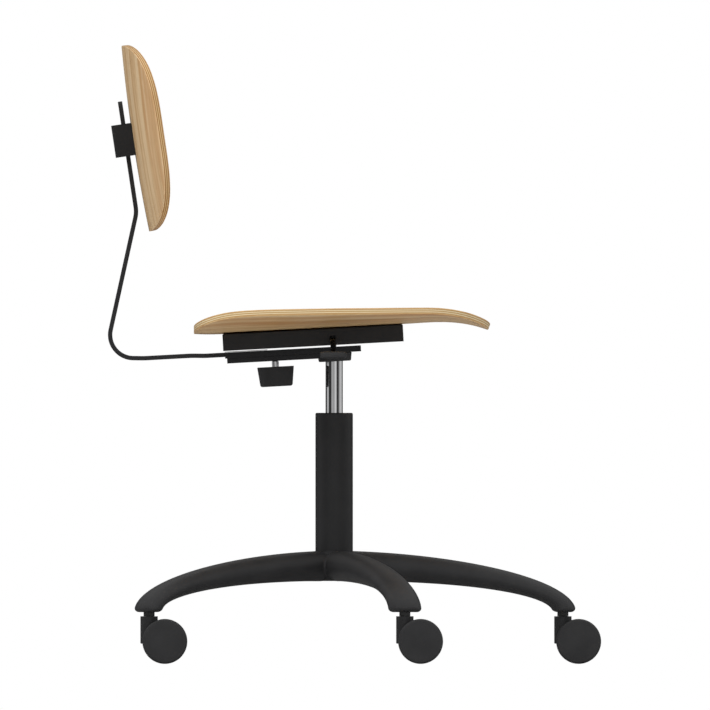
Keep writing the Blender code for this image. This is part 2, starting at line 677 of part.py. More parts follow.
def build_column(root):
    """The column tube with its guide bush, and the thrust bearing that the lift turns on."""
    inner = TUBE_RADIUS - TUBE_WALL
    floor_top = TUBE_BOTTOM + TUBE_FLOOR
    hole = ROD_NECK_RADIUS + FIT_GAP
    tube = [(inner, TUBE_TOP)]
    tube += reversed(arc((TUBE_RADIUS - TUBE_ROUND, TUBE_TOP - TUBE_ROUND), TUBE_ROUND, 0, 90, 3))
    tube[1] = (max(tube[1][0], inner + FIT_GAP), TUBE_TOP)
    tube += [(TUBE_RADIUS, TUBE_BOTTOM), (hole, TUBE_BOTTOM), (hole, floor_top), (inner, floor_top)]
    turned("column_tube", tube, root, "black_steel", ring=True)
    bush_top = TUBE_TOP - BUSH_RECESS
    washer(
        "guide_bush",
        CYLINDER_RADIUS + FIT_GAP,
        inner - FIT_GAP,
        bush_top - BUSH_LENGTH,
        BUSH_LENGTH,
        root,
        "bush_plastic",
        LARGE_FACETS,
    )
    race_bottom = floor_top + FIT_GAP
    washer("bearing_race_lower", hole, RACE_RADIUS, race_bottom, RACE_THICKNESS, root, "bright_steel")
    ball_z = race_bottom + RACE_THICKNESS + FIT_GAP + BALL_RADIUS
    inside = BALL_PITCH_RADIUS - CAGE_WIDTH / 2
    outside = BALL_PITCH_RADIUS + CAGE_WIDTH / 2
    bottom = ball_z - CAGE_THICKNESS / 2
    cage = washer("bearing_cage", inside, outside, bottom, CAGE_THICKNESS, root, "brass")
    for number in range(BALL_COUNT):
        angle = math.tau * number / BALL_COUNT
        shape = bmesh.new()
        bmesh.ops.create_uvsphere(shape, u_segments=8, v_segments=4, radius=BALL_RADIUS)
        place = (BALL_PITCH_RADIUS * math.cos(angle), BALL_PITCH_RADIUS * math.sin(angle), ball_z)
        boolean(cage, add(f"ball_{number}", mesh_of("ball", shape), root, place=place), "UNION")
    return ball_z + BALL_RADIUS + FIT_GAP


def build_piston(upper_race_z, root):
    """The rod that stands on the bearing and turns in the tube, with its piston, buffer and clip."""
    axis = frame("seat_swivel_axis", root)
    hole = ROD_NECK_RADIUS + FIT_GAP
    washer("bearing_race_upper", hole, RACE_RADIUS, upper_race_z, RACE_THICKNESS, axis, "bright_steel")
    shoulder = upper_race_z + RACE_THICKNESS + FIT_GAP
    piston_z = shoulder + PISTON_RISE
    piston = CYLINDER_RADIUS - CYLINDER_WALL - FIT_GAP
    tail = TUBE_BOTTOM - ROD_TAIL
    rod = [(0, piston_z + PISTON_LENGTH), (piston, piston_z + PISTON_LENGTH), (piston, piston_z)]
    rod += [(ROD_RADIUS, piston_z), (ROD_RADIUS, shoulder), (ROD_NECK_RADIUS, shoulder)]
    rod += [(ROD_NECK_RADIUS, tail), (0, tail)]
    turned("piston_rod", rod, axis, "chrome", SMALL_FACETS)
    inside = ROD_RADIUS + FIT_GAP
    washer("lift_buffer", inside, BUFFER_RADIUS, shoulder, BUFFER_LENGTH, axis, "rubber")
    clip_z = TUBE_BOTTOM - FIT_GAP - CLIP_THICKNESS
    washer("rod_clip", hole, CLIP_RADIUS, clip_z, CLIP_THICKNESS, axis, "bright_steel")
    return axis


def cylinder_top():
    """Just under the tilted floor of the bar channel, on its low side."""
    under = (CHANNEL_DEPTH + FIT_GAP) / math.cos(SEAT_TILT)
    return CARRIER_Z - under - CYLINDER_RADIUS * math.tan(SEAT_TILT)


def build_gas_cylinder(axis):
    top = cylinder_top()
    bottom = top - CYLINDER_LENGTH
    inner = CYLINDER_RADIUS - CYLINDER_WALL
    gland = ROD_RADIUS + FIT_GAP
    valve = BUTTON_RADIUS + FIT_GAP
    edge = CYLINDER_RADIUS - CYLINDER_CHAMFER
    profile = [(valve, top), (edge, top), (CYLINDER_RADIUS, top - CYLINDER_CHAMFER)]
    profile += [(CYLINDER_RADIUS, bottom + CYLINDER_CHAMFER), (edge, bottom), (gland, bottom)]
    profile += [(gland, bottom + GLAND_LENGTH), (inner, bottom + GLAND_LENGTH)]
    profile += [(inner, top - VALVE_LENGTH), (valve, top - VALVE_LENGTH)]
    turned("gas_cylinder", profile, axis, "chrome", WHEEL_FACETS, ring=True)


def build_carrier(axis, carrier):
    """The steel under the seat: the bar's channel and keeper, the lift's cup and the clamp's channel."""
    lengthwise = (math.pi / 2, 0, math.pi / 2)  # an outline's x across, its y up and its thickness along u
    half = CHANNEL_WIDTH / 2
    inner = half - CHANNEL_WALL
    floor_top = CHANNEL_FLOOR - CHANNEL_DEPTH
    section = [(-half, 0), (-half, -CHANNEL_DEPTH), (half, -CHANNEL_DEPTH), (half, 0)]
    section += [(inner, 0), (inner, floor_top), (-inner, floor_top), (-inner, 0)]
    middle = ((CHANNEL_REAR + CHANNEL_FRONT) / 2, 0, 0)
    half_length = (CHANNEL_FRONT - CHANNEL_REAR) / 2
    channel = slab("bar_channel", section, half_length, carrier, "black_steel", place=middle, turn=lengthwise)
    under, over = -CHANNEL_DEPTH - CUT_PAST, floor_top + CUT_PAST / 2
    knob_place = (-KNOB_BEHIND, 0, 0)
    pad_hole = PAD_RADIUS + 2 * FIT_GAP
    drill(channel, "pad_hole", pad_hole, over, under, carrier, SMALL_FACETS, place=knob_place)
    button_hole = BUTTON_RADIUS + 4 * FIT_GAP
    drill(channel, "channel_button_hole", button_hole, over, under, carrier)
    keeper_low = (CHANNEL_REAR, -half, FIT_GAP)
    keeper_high = (CHANNEL_REAR + KEEPER_LENGTH, half, FIT_GAP + KEEPER_THICKNESS)
    block("bar_keeper", keeper_low, keeper_high, carrier, "black_steel")
    cup_bottom = CLAMP_TOP - CUP_DEPTH
    sleeve = CYLINDER_RADIUS + FIT_GAP + CUP_SLEEVE_WALL
    groove = CUP_FOOT_RADIUS - CUP_RIM
    roof = CLAMP_TOP - CUP_WEB
    profile = [(0, CLAMP_TOP), (CUP_RADIUS, CLAMP_TOP), (CUP_FOOT_RADIUS, cup_bottom), (groove, cup_bottom)]
    profile += [(groove, roof), (sleeve, roof), (sleeve, cup_bottom), (0, cup_bottom)]
    cup = turned("lift_cup", profile, carrier, "black_steel")
    bore_radius = CYLINDER_RADIUS + FIT_GAP
    bore_top, bore_bottom = CARRIER_Z, CARRIER_Z + cup_bottom - CUT_PAST
    drill(cup, "cup_bore", bore_radius, bore_top, bore_bottom, axis, WHEEL_FACETS)
    half = CLAMP_WIDTH / 2
    inner = half - CLAMP_SHEET
    sheet_top = CLAMP_BOTTOM + CLAMP_SHEET
    section = [(-half, CLAMP_TOP), (-half, CLAMP_BOTTOM), (half, CLAMP_BOTTOM), (half, CLAMP_TOP)]
    section += [(inner, CLAMP_TOP), (inner, sheet_top), (-inner, sheet_top), (-inner, CLAMP_TOP)]
    front = CLAMP_OVERLAP - CUP_RADIUS
    middle = ((CLAMP_REAR + front) / 2, 0, 0)
    clamp_half = (front - CLAMP_REAR) / 2
    clamp = slab("clamp_channel", section, clamp_half, carrier, "black_steel", place=middle, turn=lengthwise)
    past, below = CLAMP_TOP + CUT_PAST, cup_bottom - CUT_PAST
    drill(clamp, "cup_clearance", CUP_RADIUS + 2 * FIT_GAP, past, below, carrier, LARGE_FACETS)
    screw_hole = SCREW_RADIUS + FIT_GAP
    drill(clamp, "screw_hole", screw_hole, sheet_top + CUT_PAST / 2, below, carrier, place=knob_place)
    nut_top = -BAR_THICKNESS - 2 * FIT_GAP - PAD_THICKNESS - SCREW_PITCH - FIT_GAP
    half_nut = NUT_WIDTH / 2
    nut_low = (-KNOB_BEHIND - half_nut, -half_nut, sheet_top + FIT_GAP)
    nut = block("clamp_nut", nut_low, (half_nut - KNOB_BEHIND, half_nut, nut_top), carrier, "bright_steel")
    drill(nut, "nut_hole", screw_hole, 0, CLAMP_BOTTOM, carrier, place=knob_place)


def build_seat_box(carrier):
    """The pressed pan under the seat, open below, with a top that follows the shell."""
    shape = bmesh.new()
    bmesh.ops.create_grid(shape, x_segments=6, y_segments=8, size=1)
    for vertex in shape.verts:
        u = BOX_REAR + BOX_LENGTH * (vertex.co.x + 1) / 2
        y = BOX_SIDE * vertex.co.y
        vertex.co = (u, y, seat_underside(u, y) - FIT_GAP)
    rim = [edge for edge in shape.edges if edge.is_boundary]
    sides = bmesh.ops.extrude_edge_only(shape, edges=rim)["geom"]
    for item in sides:
        if isinstance(item, bmesh.types.BMVert):
            item.co.z = BOX_LIFT
    box = add("seat_box", mesh_of("seat_box", shape), carrier, "black_steel")
    bevel(box, BOX_FOLD, segments=2)
    sheet = box.modifiers.new("sheet", "SOLIDIFY")
    sheet.thickness = BOX_SHEET
    sheet.offset = -1
    sheet.use_even_offset = True
    half_slot = LEVER_ROD_RADIUS + 2 * FIT_GAP
    low = (LEVER_U - half_slot, -BOX_SIDE - CUT_PAST, LEVER_HEIGHT - half_slot)
    high = (LEVER_U + half_slot, CUT_PAST - BOX_SIDE, LEVER_HEIGHT + half_slot + LEVER_SLOT_RISE)
    boolean(box, block("lever_slot", low, high, carrier))
    across = (math.pi / 2, 0, 0)  # an outline's x along u, its y up and its thickness across
    end = BRIDGE_LENGTH / 2
    sheet_in = end - BRIDGE_SHEET
    rib_rear, rib_front = LEVER_U - BRIDGE_RIB_WIDTH / 2, LEVER_U + BRIDGE_RIB_WIDTH / 2
    flange = BRIDGE_TOP + BRIDGE_FLANGE
    outline = [(-end, BOX_LIFT), (rib_rear, BOX_LIFT), (rib_rear, FIT_GAP), (rib_front, FIT_GAP)]
    outline += [(rib_front, BOX_LIFT), (end, BOX_LIFT), (end, flange), (sheet_in, flange)]
    outline += [(sheet_in, BRIDGE_TOP), (-sheet_in, BRIDGE_TOP), (-sheet_in, flange), (-end, flange)]
    half_width = BOX_SIDE - BOX_SHEET - FIT_GAP
    bridge = slab("mount_bridge", outline, half_width, carrier, "black_steel", turn=across)
    hole = BUTTON_RADIUS + 4 * FIT_GAP
    drill(bridge, "bridge_button_hole", hole, BRIDGE_TOP + CUT_PAST / 2, -CUT_PAST / 2, carrier)


def build_release(axis, carrier):
    """The lever that opens the lift's valve: a cranked rod on a pin, a paddle and the valve's button."""
    inner_w = LEVER_HEIGHT + LEVER_CRANK
    button_top = CARRIER_Z + inner_w - LEVER_ROD_RADIUS - FIT_GAP * 2
    button = rod_profile(BUTTON_RADIUS, button_top, cylinder_top() - BUTTON_SUNK)
    turned("release_button", button, axis, "bright_steel", PIN_FACETS)
    lever = frame("lever_axis", carrier, (LEVER_U, FULCRUM_Y, LEVER_HEIGHT))
    crank_out = FULCRUM_Y + BRACKET_LENGTH / 2
    crank_in = crank_out + LEVER_CRANK_RUN
    corners = [(LEVER_INNER_Y, inner_w), (crank_in, inner_w), (crank_out, LEVER_HEIGHT)]
    corners += [(LEVER_DOWN_Y, LEVER_HEIGHT), (LEVER_DOWN_Y, PADDLE_W)]
    corners += [(PADDLE_Y - LEVER_IN_PADDLE, PADDLE_W)]
    bends = [LEVER_BEND] * 4
    points, _ = bent_path(corners, bends, 4)
    curve = bpy.data.curves.new("lever_rod", "CURVE")
    curve.dimensions = "3D"
    curve.bevel_depth = LEVER_ROD_RADIUS
    curve.bevel_resolution = 2
    curve.use_fill_caps = True
    spline = curve.splines.new("POLY")
    spline.points.add(len(points) - 1)
    route = [value for y, w in points for value in (0, y - FULCRUM_Y, w - LEVER_HEIGHT, 1)]
    spline.points.foreach_set("co", route)
    rod = add("lever_rod", solid_from_curve("lever_rod", curve), lever, "black_steel")
    along_u = (0, math.pi / 2, 0)
    ear = LEVER_ROD_RADIUS + FIT_GAP + BRACKET_SHEET
    drill(rod, "rod_pin_hole", PIN_RADIUS + FIT_GAP, 2 * ear, -2 * ear, lever, turn=along_u)
    turned("lever_pin", rod_profile(PIN_RADIUS, ear, -ear), lever, "bright_steel", PIN_FACETS, turn=along_u)
    inside = ear - BRACKET_SHEET
    foot = BRIDGE_TOP + FIT_GAP - LEVER_HEIGHT
    roof = LEVER_ROD_RADIUS + 2 * FIT_GAP
    saddle = [(-ear, foot), (-inside, foot), (-inside, roof), (inside, roof), (inside, foot), (ear, foot)]
    saddle += [(ear, roof + BRACKET_SHEET), (-ear, roof + BRACKET_SHEET)]
    across = (math.pi / 2, 0, 0)
    bracket = slab("lever_bracket", saddle, BRACKET_LENGTH / 2, lever, "black_steel", turn=across)
    drill(bracket, "bracket_pin_hole", PIN_RADIUS + FIT_GAP, 2 * ear, -2 * ear, lever, turn=along_u)
    grip = frame("paddle_frame", lever, (0, PADDLE_Y - FULCRUM_Y, -LEVER_DROP), (0, SEAT_TILT, 0))
    wide, neck, tip = PADDLE_WIDTH / 2, PADDLE_NECK_WIDTH / 2, PADDLE_TIP_WIDTH / 2
    tip_start = PADDLE_TIP_LENGTH - PADDLE_LENGTH
    outline = [(neck, 0), (wide, -PADDLE_NECK_LENGTH), (wide, tip_start), (tip, -PADDLE_LENGTH)]
    outline += [(-tip, -PADDLE_LENGTH), (-wide, tip_start), (-wide, -PADDLE_NECK_LENGTH), (-neck, 0)]
    paddle = slab("lever_paddle", outline, PADDLE_THICKNESS / 2, grip, "grey_plastic")
    bevel(paddle, PADDLE_ROUND, segments=2)
    socket = LEVER_ROD_RADIUS + FIT_GAP * 2
    sunk = LEVER_IN_PADDLE + FIT_GAP
    drill(paddle, "paddle_socket", socket, CUT_PAST, -sunk, grip, turn=(-math.pi / 2, 0, 0))


def build_clamp(carrier):
    """The knob and screw that press a pad against the back bar."""
    axis = frame("knob_axis", carrier, (-KNOB_BEHIND, 0, 0))
    pad_top = -BAR_THICKNESS - FIT_GAP
    pad_bottom = pad_top - PAD_THICKNESS
    turned("clamp_pad", rod_profile(PAD_RADIUS, pad_top, pad_bottom), axis, "bright_steel", SMALL_FACETS)
    knob_top = CLAMP_BOTTOM - SCREW_SHOWN
    knob_bottom = knob_top - KNOB_HEIGHT
    shank_top = CLAMP_BOTTOM - FIT_GAP
    tip = pad_bottom - FIT_GAP
    shank_end = knob_top - SCREW_IN_KNOB
    screw = [(0, tip), (SCREW_RADIUS, tip), (SCREW_RADIUS, shank_top), (SHANK_RADIUS, shank_top)]
    screw += [(SHANK_RADIUS, shank_end), (0, shank_end)]
    turned("clamp_screw", screw, axis, "chrome", SMALL_FACETS)
    socket = SHANK_RADIUS + FIT_GAP
    floor = shank_end - FIT_GAP
    knob = [(0, floor), (socket, floor), (socket, knob_top), (KNOB_RADIUS, knob_top)]
    corner = (KNOB_FOOT_RADIUS - KNOB_ROUND, knob_bottom + KNOB_ROUND)
    knob += arc(corner, KNOB_ROUND, 0, -90, 3)
    knob += [(0, knob_bottom)]
    turned("clamp_knob", knob, axis, "black_plastic")


def build_back(root):
    """The sprung bar, and the backrest that slides on its upper end."""
    upright = (math.pi / 2, 0, 0)
    bar = slab("back_bar", bar_outline(), BAR_WIDTH / 2, root, "black_steel", turn=upright)
    round_bar_top(bar.data)
    fork = frame("back_depth_axis", root, (0, 0, CARRIER_Z), (0, -SEAT_TILT, 0))
    half_fork = BAR_FORK_WIDTH / 2
    low = (BAR_INNER_END - BAR_FORK_LENGTH, -half_fork, -BAR_THICKNESS - CUT_PAST)
    boolean(bar, block("fork_slot", low, (BAR_INNER_END + CUT_PAST, half_fork, CUT_PAST), fork))
    x, z = along_upper_bar(BACK_ALONG_BAR)
    back = frame("back_height_axis", root, (x, 0, z), (0, -BAR_UPPER_LEAN, 0))
    ply_shell(
        "back_shell",
        BACK_WIDTH / 2,
        BACK_HEIGHT / 2,
        BACK_CORNER_POWER,
        lambda y, v: (back_rear_face(y, v), y, v),
        back,
    )
    build_back_block(back)


def round_bar_top(mesh):
    """Rounds the two corners at the bar's upper end."""
    shape = bmesh.new()
    shape.from_mesh(mesh)
    top = max(vertex.co.y for vertex in shape.verts) - BAR_THICKNESS
    corners = []
    for edge in shape.edges:
        flat = abs(edge.verts[0].co.z - edge.verts[1].co.z) < FIT_GAP
        if flat and all(vertex.co.y > top for vertex in edge.verts) and len(edge.link_faces) == 2:
            if abs(edge.calc_length() - BAR_THICKNESS) < FIT_GAP:
                corners.append(edge)
    bmesh.ops.bevel(shape, geom=corners, offset=BAR_TOP_CORNER, segments=4, profile=0.5, affect="EDGES")
    shape.to_mesh(mesh)
    shape.free()


def build_back_block(back):
    """The moulded block behind the back: it grips the bar between its wall and a sprung pad."""
    half = BLOCK_WIDTH / 2
    rear = -BLOCK_BEHIND
    front = [(back_rear_face(y, 0) - FIT_GAP, y) for y in np.linspace(half, -half, 7)]
    outline = arc((rear + BLOCK_CORNER, BLOCK_CORNER - half), BLOCK_CORNER, 270, 180, 3)
    outline += arc((rear + BLOCK_CORNER, half - BLOCK_CORNER), BLOCK_CORNER, 180, 90, 3)
    outline += front
    slot_x, slot_y = BAR_THICKNESS / 2 + FIT_GAP, BAR_WIDTH / 2 + FIT_GAP
    body = slab("back_block", outline, BLOCK_HEIGHT / 2, back, "black_plastic")
    through = BLOCK_HEIGHT / 2 + CUT_PAST
    slot_low, slot_high = (-slot_x, -slot_y, -through), (slot_x, slot_y, through)
    boolean(body, block("bar_slot", slot_low, slot_high, back))
    pad_front = -slot_x
    pad_rear = pad_front - FRICTION_PAD_THICKNESS
    spring_rear = pad_rear - FIT_GAP - SPRING_BOW
    half_wide, half_high = FRICTION_PAD_WIDTH / 2, FRICTION_PAD_HEIGHT / 2
    pocket_low = (spring_rear - FIT_GAP, -half_wide - FIT_GAP, -half_high - FIT_GAP)
    boolean(body, block("pad_pocket", pocket_low, (0, half_wide + FIT_GAP, half_high + FIT_GAP), back))
    pad_low = (pad_rear, -half_wide, -half_high)
    block("friction_pad", pad_low, (pad_front, half_wide, half_high), back, "rubber")
    heights = np.linspace(-half_high, half_high, SPRING_STEPS + 1)
    bow = (SPRING_BOW - SPRING_SHEET) * (1 - (heights / half_high) ** 2)
    strip = [(spring_rear + SPRING_SHEET + b, v) for b, v in zip(bow, heights)]
    strip += [(spring_rear + b, v) for b, v in zip(bow[::-1], heights[::-1])]
    slab("leaf_spring", strip, SPRING_WIDTH / 2, back, "bright_steel", turn=(math.pi / 2, 0, 0))


def finish_shading():
    """Gives each part its evaluated mesh, shaded smooth where it is round."""
    graph = bpy.context.evaluated_depsgraph_get()
    parts = [obj for obj in PARTS.objects if obj.type == "MESH"]
    meshes = [bpy.data.meshes.new_from_object(obj.evaluated_get(graph)) for obj in parts]
    for obj, mesh in zip(parts, meshes):
        mesh.name = obj.name
        mesh.shade_smooth()
        mesh.set_sharp_from_angle(angle=SHARP_ANGLE)
        obj.modifiers.clear()
        obj.data = mesh


def main():
    front_reach = STEM_CIRCLE_RADIUS + CASTER_TRAIL + WHEEL_RADIUS
    rear_reach = -bar_outline()[:, 0].min()
    root = frame("swivel_chair_origin", None, ((rear_reach - front_reach) / 2, 0, 0))
    for number in range(ARM_COUNT):
        build_caster(number, root)
    build_star_base(root)
    upper_race_z = build_column(root)
    swivel = build_piston(upper_race_z, root)
    build_gas_cylinder(swivel)
    carrier = frame("seat_carrier_frame", swivel, (0, 0, CARRIER_Z), (0, -SEAT_TILT, 0))
    build_carrier(swivel, carrier)
    build_seat_box(carrier)
    ply_shell(
        "seat_shell",
        SEAT_DEPTH / 2,
        SEAT_WIDTH / 2,
        SEAT_CORNER_POWER,
        lambda along, y: (SEAT_AHEAD + along, y, seat_underside(SEAT_AHEAD + along, y)),
        carrier,
    )
    build_release(swivel, carrier)
    build_clamp(carrier)
    build_back(root)
    bpy.context.view_layer.update()
    finish_shading()


main()
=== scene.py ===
import json
from math import cos, pi, radians, sin, tan, tau

import bmesh
import bpy
import numpy as np
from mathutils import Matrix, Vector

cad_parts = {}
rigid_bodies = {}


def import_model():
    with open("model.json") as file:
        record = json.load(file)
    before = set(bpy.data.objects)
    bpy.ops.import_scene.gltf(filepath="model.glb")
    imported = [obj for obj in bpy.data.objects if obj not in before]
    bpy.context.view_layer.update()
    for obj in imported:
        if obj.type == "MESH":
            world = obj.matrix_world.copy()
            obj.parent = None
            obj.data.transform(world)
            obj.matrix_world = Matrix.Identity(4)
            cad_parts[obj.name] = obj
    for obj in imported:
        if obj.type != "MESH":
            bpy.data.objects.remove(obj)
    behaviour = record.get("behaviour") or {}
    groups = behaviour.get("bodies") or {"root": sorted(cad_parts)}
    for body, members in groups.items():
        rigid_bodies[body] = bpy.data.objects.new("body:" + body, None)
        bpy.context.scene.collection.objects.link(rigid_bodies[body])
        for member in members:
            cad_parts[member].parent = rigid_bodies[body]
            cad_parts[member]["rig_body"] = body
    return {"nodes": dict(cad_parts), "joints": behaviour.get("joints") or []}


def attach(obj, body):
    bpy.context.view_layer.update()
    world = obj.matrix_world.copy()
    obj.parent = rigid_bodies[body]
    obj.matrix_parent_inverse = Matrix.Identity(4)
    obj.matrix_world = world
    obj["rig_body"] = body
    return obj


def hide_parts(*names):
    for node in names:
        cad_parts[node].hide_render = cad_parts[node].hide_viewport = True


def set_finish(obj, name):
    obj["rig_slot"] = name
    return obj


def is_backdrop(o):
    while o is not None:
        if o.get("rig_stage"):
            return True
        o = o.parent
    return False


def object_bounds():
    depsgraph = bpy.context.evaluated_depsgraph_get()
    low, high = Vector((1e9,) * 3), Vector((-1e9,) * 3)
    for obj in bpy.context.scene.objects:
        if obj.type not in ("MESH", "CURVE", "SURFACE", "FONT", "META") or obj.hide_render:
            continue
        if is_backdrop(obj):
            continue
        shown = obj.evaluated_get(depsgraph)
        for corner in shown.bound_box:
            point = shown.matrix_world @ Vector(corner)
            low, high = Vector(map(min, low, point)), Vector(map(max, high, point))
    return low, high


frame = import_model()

# metres throughout: x to the chair's front, y to its left, z up
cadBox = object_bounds()
scene = bpy.context.scene
joints = {joint["name"]: joint for joint in frame["joints"]}
columnX = joints["seat_swivel"]["pos_m"][0]
gap = 0.0003  # between pieces that touch
arms = 5  # of the star base, each on a caster of its own
print("frame loaded:", len(frame["nodes"]), "nodes")


# surfaces

def facesOfGrid(rows, cols, loopRows, start):
    # each quad joins (i, j), (i, j+1), (i+1, j+1), (i+1, j); columns wrap round, and rows where looped
    i = np.arange(rows if loopRows else rows - 1)[:, None]
    j = np.arange(cols)[None, :]
    corner = lambda a, b: start + (a % rows) * cols + b % cols
    quads = np.broadcast_arrays(corner(i, j), corner(i, j + 1), corner(i + 1, j + 1), corner(i + 1, j))
    return np.stack(quads, -1).reshape(-1, 4).tolist()


def ringGrid(points, caps=False, loopRows=False):
    # a grid whose columns run round a closed section; caps closes its first and last row with a flat face
    return {"points": points, "loopRows": loopRows, "caps": caps}


def makePiece(name, grids, material, body, slotName, stands=(), sharp=38, plyDepth=None):
    # all the grids in one mesh that rides on a body; stands names the nodes that it is seen in place of
    points, faces, start = [], [], 0
    for grid in grids:
        rows, cols = grid["points"].shape[:2]
        points.append(grid["points"].reshape(-1, 3))
        faces += facesOfGrid(rows, cols, grid["loopRows"], start)
        if grid["caps"]:
            faces.append(list(range(start, start + cols)))
            faces.append(list(range(start + (rows - 1) * cols, start + rows * cols)))
        start += rows * cols
    mesh = bpy.data.meshes.new(name)
    mesh.from_pydata(np.concatenate(points).tolist(), [], faces)
    if plyDepth is not None:
        mesh.attributes.new("plyDepth", "FLOAT", "POINT").data.foreach_set("value", plyDepth.ravel())
    tidyMesh(mesh, sharp)
    mesh.materials.append(material)
    piece = bpy.data.objects.new(name, mesh)
    scene.collection.objects.link(piece)
    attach(piece, body)
    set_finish(piece, slotName)
    if stands:
        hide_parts(*stands)
    return piece


def tidyMesh(mesh, sharp):
    # poles and seams merged, slivers dissolved, faces turned outwards, edges above the angle kept sharp
    work = bmesh.new()
    work.from_mesh(mesh)
    bmesh.ops.remove_doubles(work, verts=work.verts, dist=1e-6)
    bmesh.ops.dissolve_degenerate(work, edges=work.edges, dist=1e-7)
    bmesh.ops.recalc_face_normals(work, faces=work.faces)
    work.to_mesh(mesh)
    work.free()
    mesh.shade_smooth()
    mesh.set_sharp_from_angle(angle=radians(sharp))


def cutOut(piece, grids, sharp=38):
    # each grid is a closed cutter that is taken out of the piece; nothing of it stays in the scene
    for grid in grids:
        finish = piece.data.materials[0]
        tool = makePiece(piece.name + ".cutter", [grid], finish, piece["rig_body"], piece["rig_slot"])
        cut = piece.modifiers.new("cut", "BOOLEAN")
        cut.operation = "DIFFERENCE"
        cut.solver = "EXACT"
        cut.object = tool
        graph = bpy.context.evaluated_depsgraph_get()
        done = bpy.data.meshes.new_from_object(piece.evaluated_get(graph))
        piece.modifiers.clear()
        piece.data = done
        bpy.data.objects.remove(tool, do_unlink=True)
    piece.data.shade_smooth()
    piece.data.set_sharp_from_angle(angle=radians(sharp))


def softEdges(piece, width):
    # a narrow bevel on the edges that turn more than the limit
    edge = piece.modifiers.new("soft edges", "BEVEL")
    edge.width = width
    edge.segments = 2
    edge.limit_method = "ANGLE"
    edge.angle_limit = radians(50)
    edge.harden_normals = True


arcHold = {"ofRadius": 0.05, "ofRoom": 0.4, "most": 0.00006, "least": 1e-7}


def roundedPath(corners, radii, steps, closed=False):
    # a corner becomes an arc that touches both its edges: centre - side r (left cos a - ahead sin a)
    p = np.asarray(corners, float)
    prior, mid, after = (np.roll(p, 1, 0), p, np.roll(p, -1, 0)) if closed else (p[:-2], p[1:-1], p[2:])
    r = np.broadcast_to(radii, len(mid)).astype(float)
    before, beyond = np.linalg.norm(mid - prior, axis=1), np.linalg.norm(after - mid, axis=1)
    ahead, onward = (mid - prior) / before[:, None], (after - mid) / beyond[:, None]
    cross = ahead[:, 0] * onward[:, 1] - ahead[:, 1] * onward[:, 0]
    turn = np.arctan2(cross, (ahead * onward).sum(1))
    side = np.sign(turn)
    left = np.stack([-ahead[:, 1], ahead[:, 0]], 1)
    reach = r * np.tan(abs(turn) / 2)
    centre = mid - ahead * reach[:, None] + left * (side * r)[:, None]
    a = (turn[:, None] * np.linspace(0, 1, steps + 1))[..., None]
    spoke = left[:, None] * np.cos(a) - ahead[:, None] * np.sin(a)
    arcs = centre[:, None] - spoke * (side * r)[:, None, None]
    # a line held close to each end of the arc keeps the flat beside it flat to the eye
    ends = np.concatenate([reach[-1:], reach, reach[:1]] if closed else [[0], reach, [0]])
    room = np.stack([before - ends[:-2] - reach, beyond - reach - ends[2:]])
    hold = np.minimum(arcHold["ofRoom"] * room, np.minimum(arcHold["ofRadius"] * r, arcHold["most"]))
    hold = np.clip(hold, arcHold["least"], None)[..., None, None]
    arcs = [arcs[:, :1] - ahead[:, None] * hold[0], arcs, arcs[:, -1:] + onward[:, None] * hold[1]]
    arcs = np.concatenate(arcs, 1).reshape(-1, 2)
    return arcs if closed else np.concatenate([p[:1], arcs, p[-1:]])


def rectangle(first, second):
    # the corners in turn, from (low, high) along each of two axes
    return [(first[0], second[0]), (first[1], second[0]), (first[1], second[1]), (first[0], second[1])]


def turned(profile, segments, axis=(0.0, 0.0)):
    # surface of revolution: (r cos t, r sin t, z) for each (r, z) of the profile and each angle t
    r, z = np.asarray(profile, float).T[:, :, None]
    t = np.linspace(0, tau, segments, endpoint=False)[None]
    return np.stack([axis[0] + r * np.cos(t), axis[1] + r * np.sin(t), z + 0 * t], -1)


def carried(path, section):
    # section (across, out) carried along a flat path: path point + out times its left normal, across on Y
    path = np.asarray(path, float)
    length = np.concatenate([[0], np.linalg.norm(np.diff(path, axis=0), axis=1).cumsum()])
    ahead = np.gradient(path, length, axis=0)
    ahead /= np.linalg.norm(ahead, axis=1, keepdims=True)
    across, out = np.moveaxis(np.broadcast_to(section, (len(path),) + np.shape(section)[-2:]), -1, 0)
    x = path[:, :1] - ahead[:, 1:] * out
    z = path[:, 1:] + ahead[:, :1] * out
    return np.stack([x, across, z], -1)


def extruded(outline, levels, plane="XY"):
    # the same closed outline repeated at each level of the third axis
    first, second = np.asarray(outline, float).T[:, None, :]
    third = np.asarray(levels, float)[:, None] + 0 * first
    first, second = first + 0 * third, second + 0 * third
    return np.stack({"XY": [first, second, third], "XZ": [first, third, second]}[plane], -1)


def tilted(points, origin, lean):
    # out of a frame that leans back: x = u cos - w sin, z = u sin + w cos, from the frame's origin
    u, y, w = np.moveaxis(np.asarray(points, float), -1, 0)
    x = origin[0] + u * cos(lean) - w * sin(lean)
    z = origin[1] + u * sin(lean) + w * cos(lean)
    return np.stack([x, y, z], -1)


def smoothStep(x):
    # 3x^2 - 2x^3 between 0 and 1
    x = np.clip(x, 0, 1)
    return x * x * (3 - 2 * x)


# finishes

def linear(hexText):
    # sRGB hex to linear light
    value = np.array([int(hexText[k:k + 2], 16) for k in (1, 3, 5)]) / 255
    low, high = value / 12.92, ((value + 0.055) / 1.055) ** 2.4
    return (*np.where(value <= 0.04045, low, high).tolist(), 1.0)


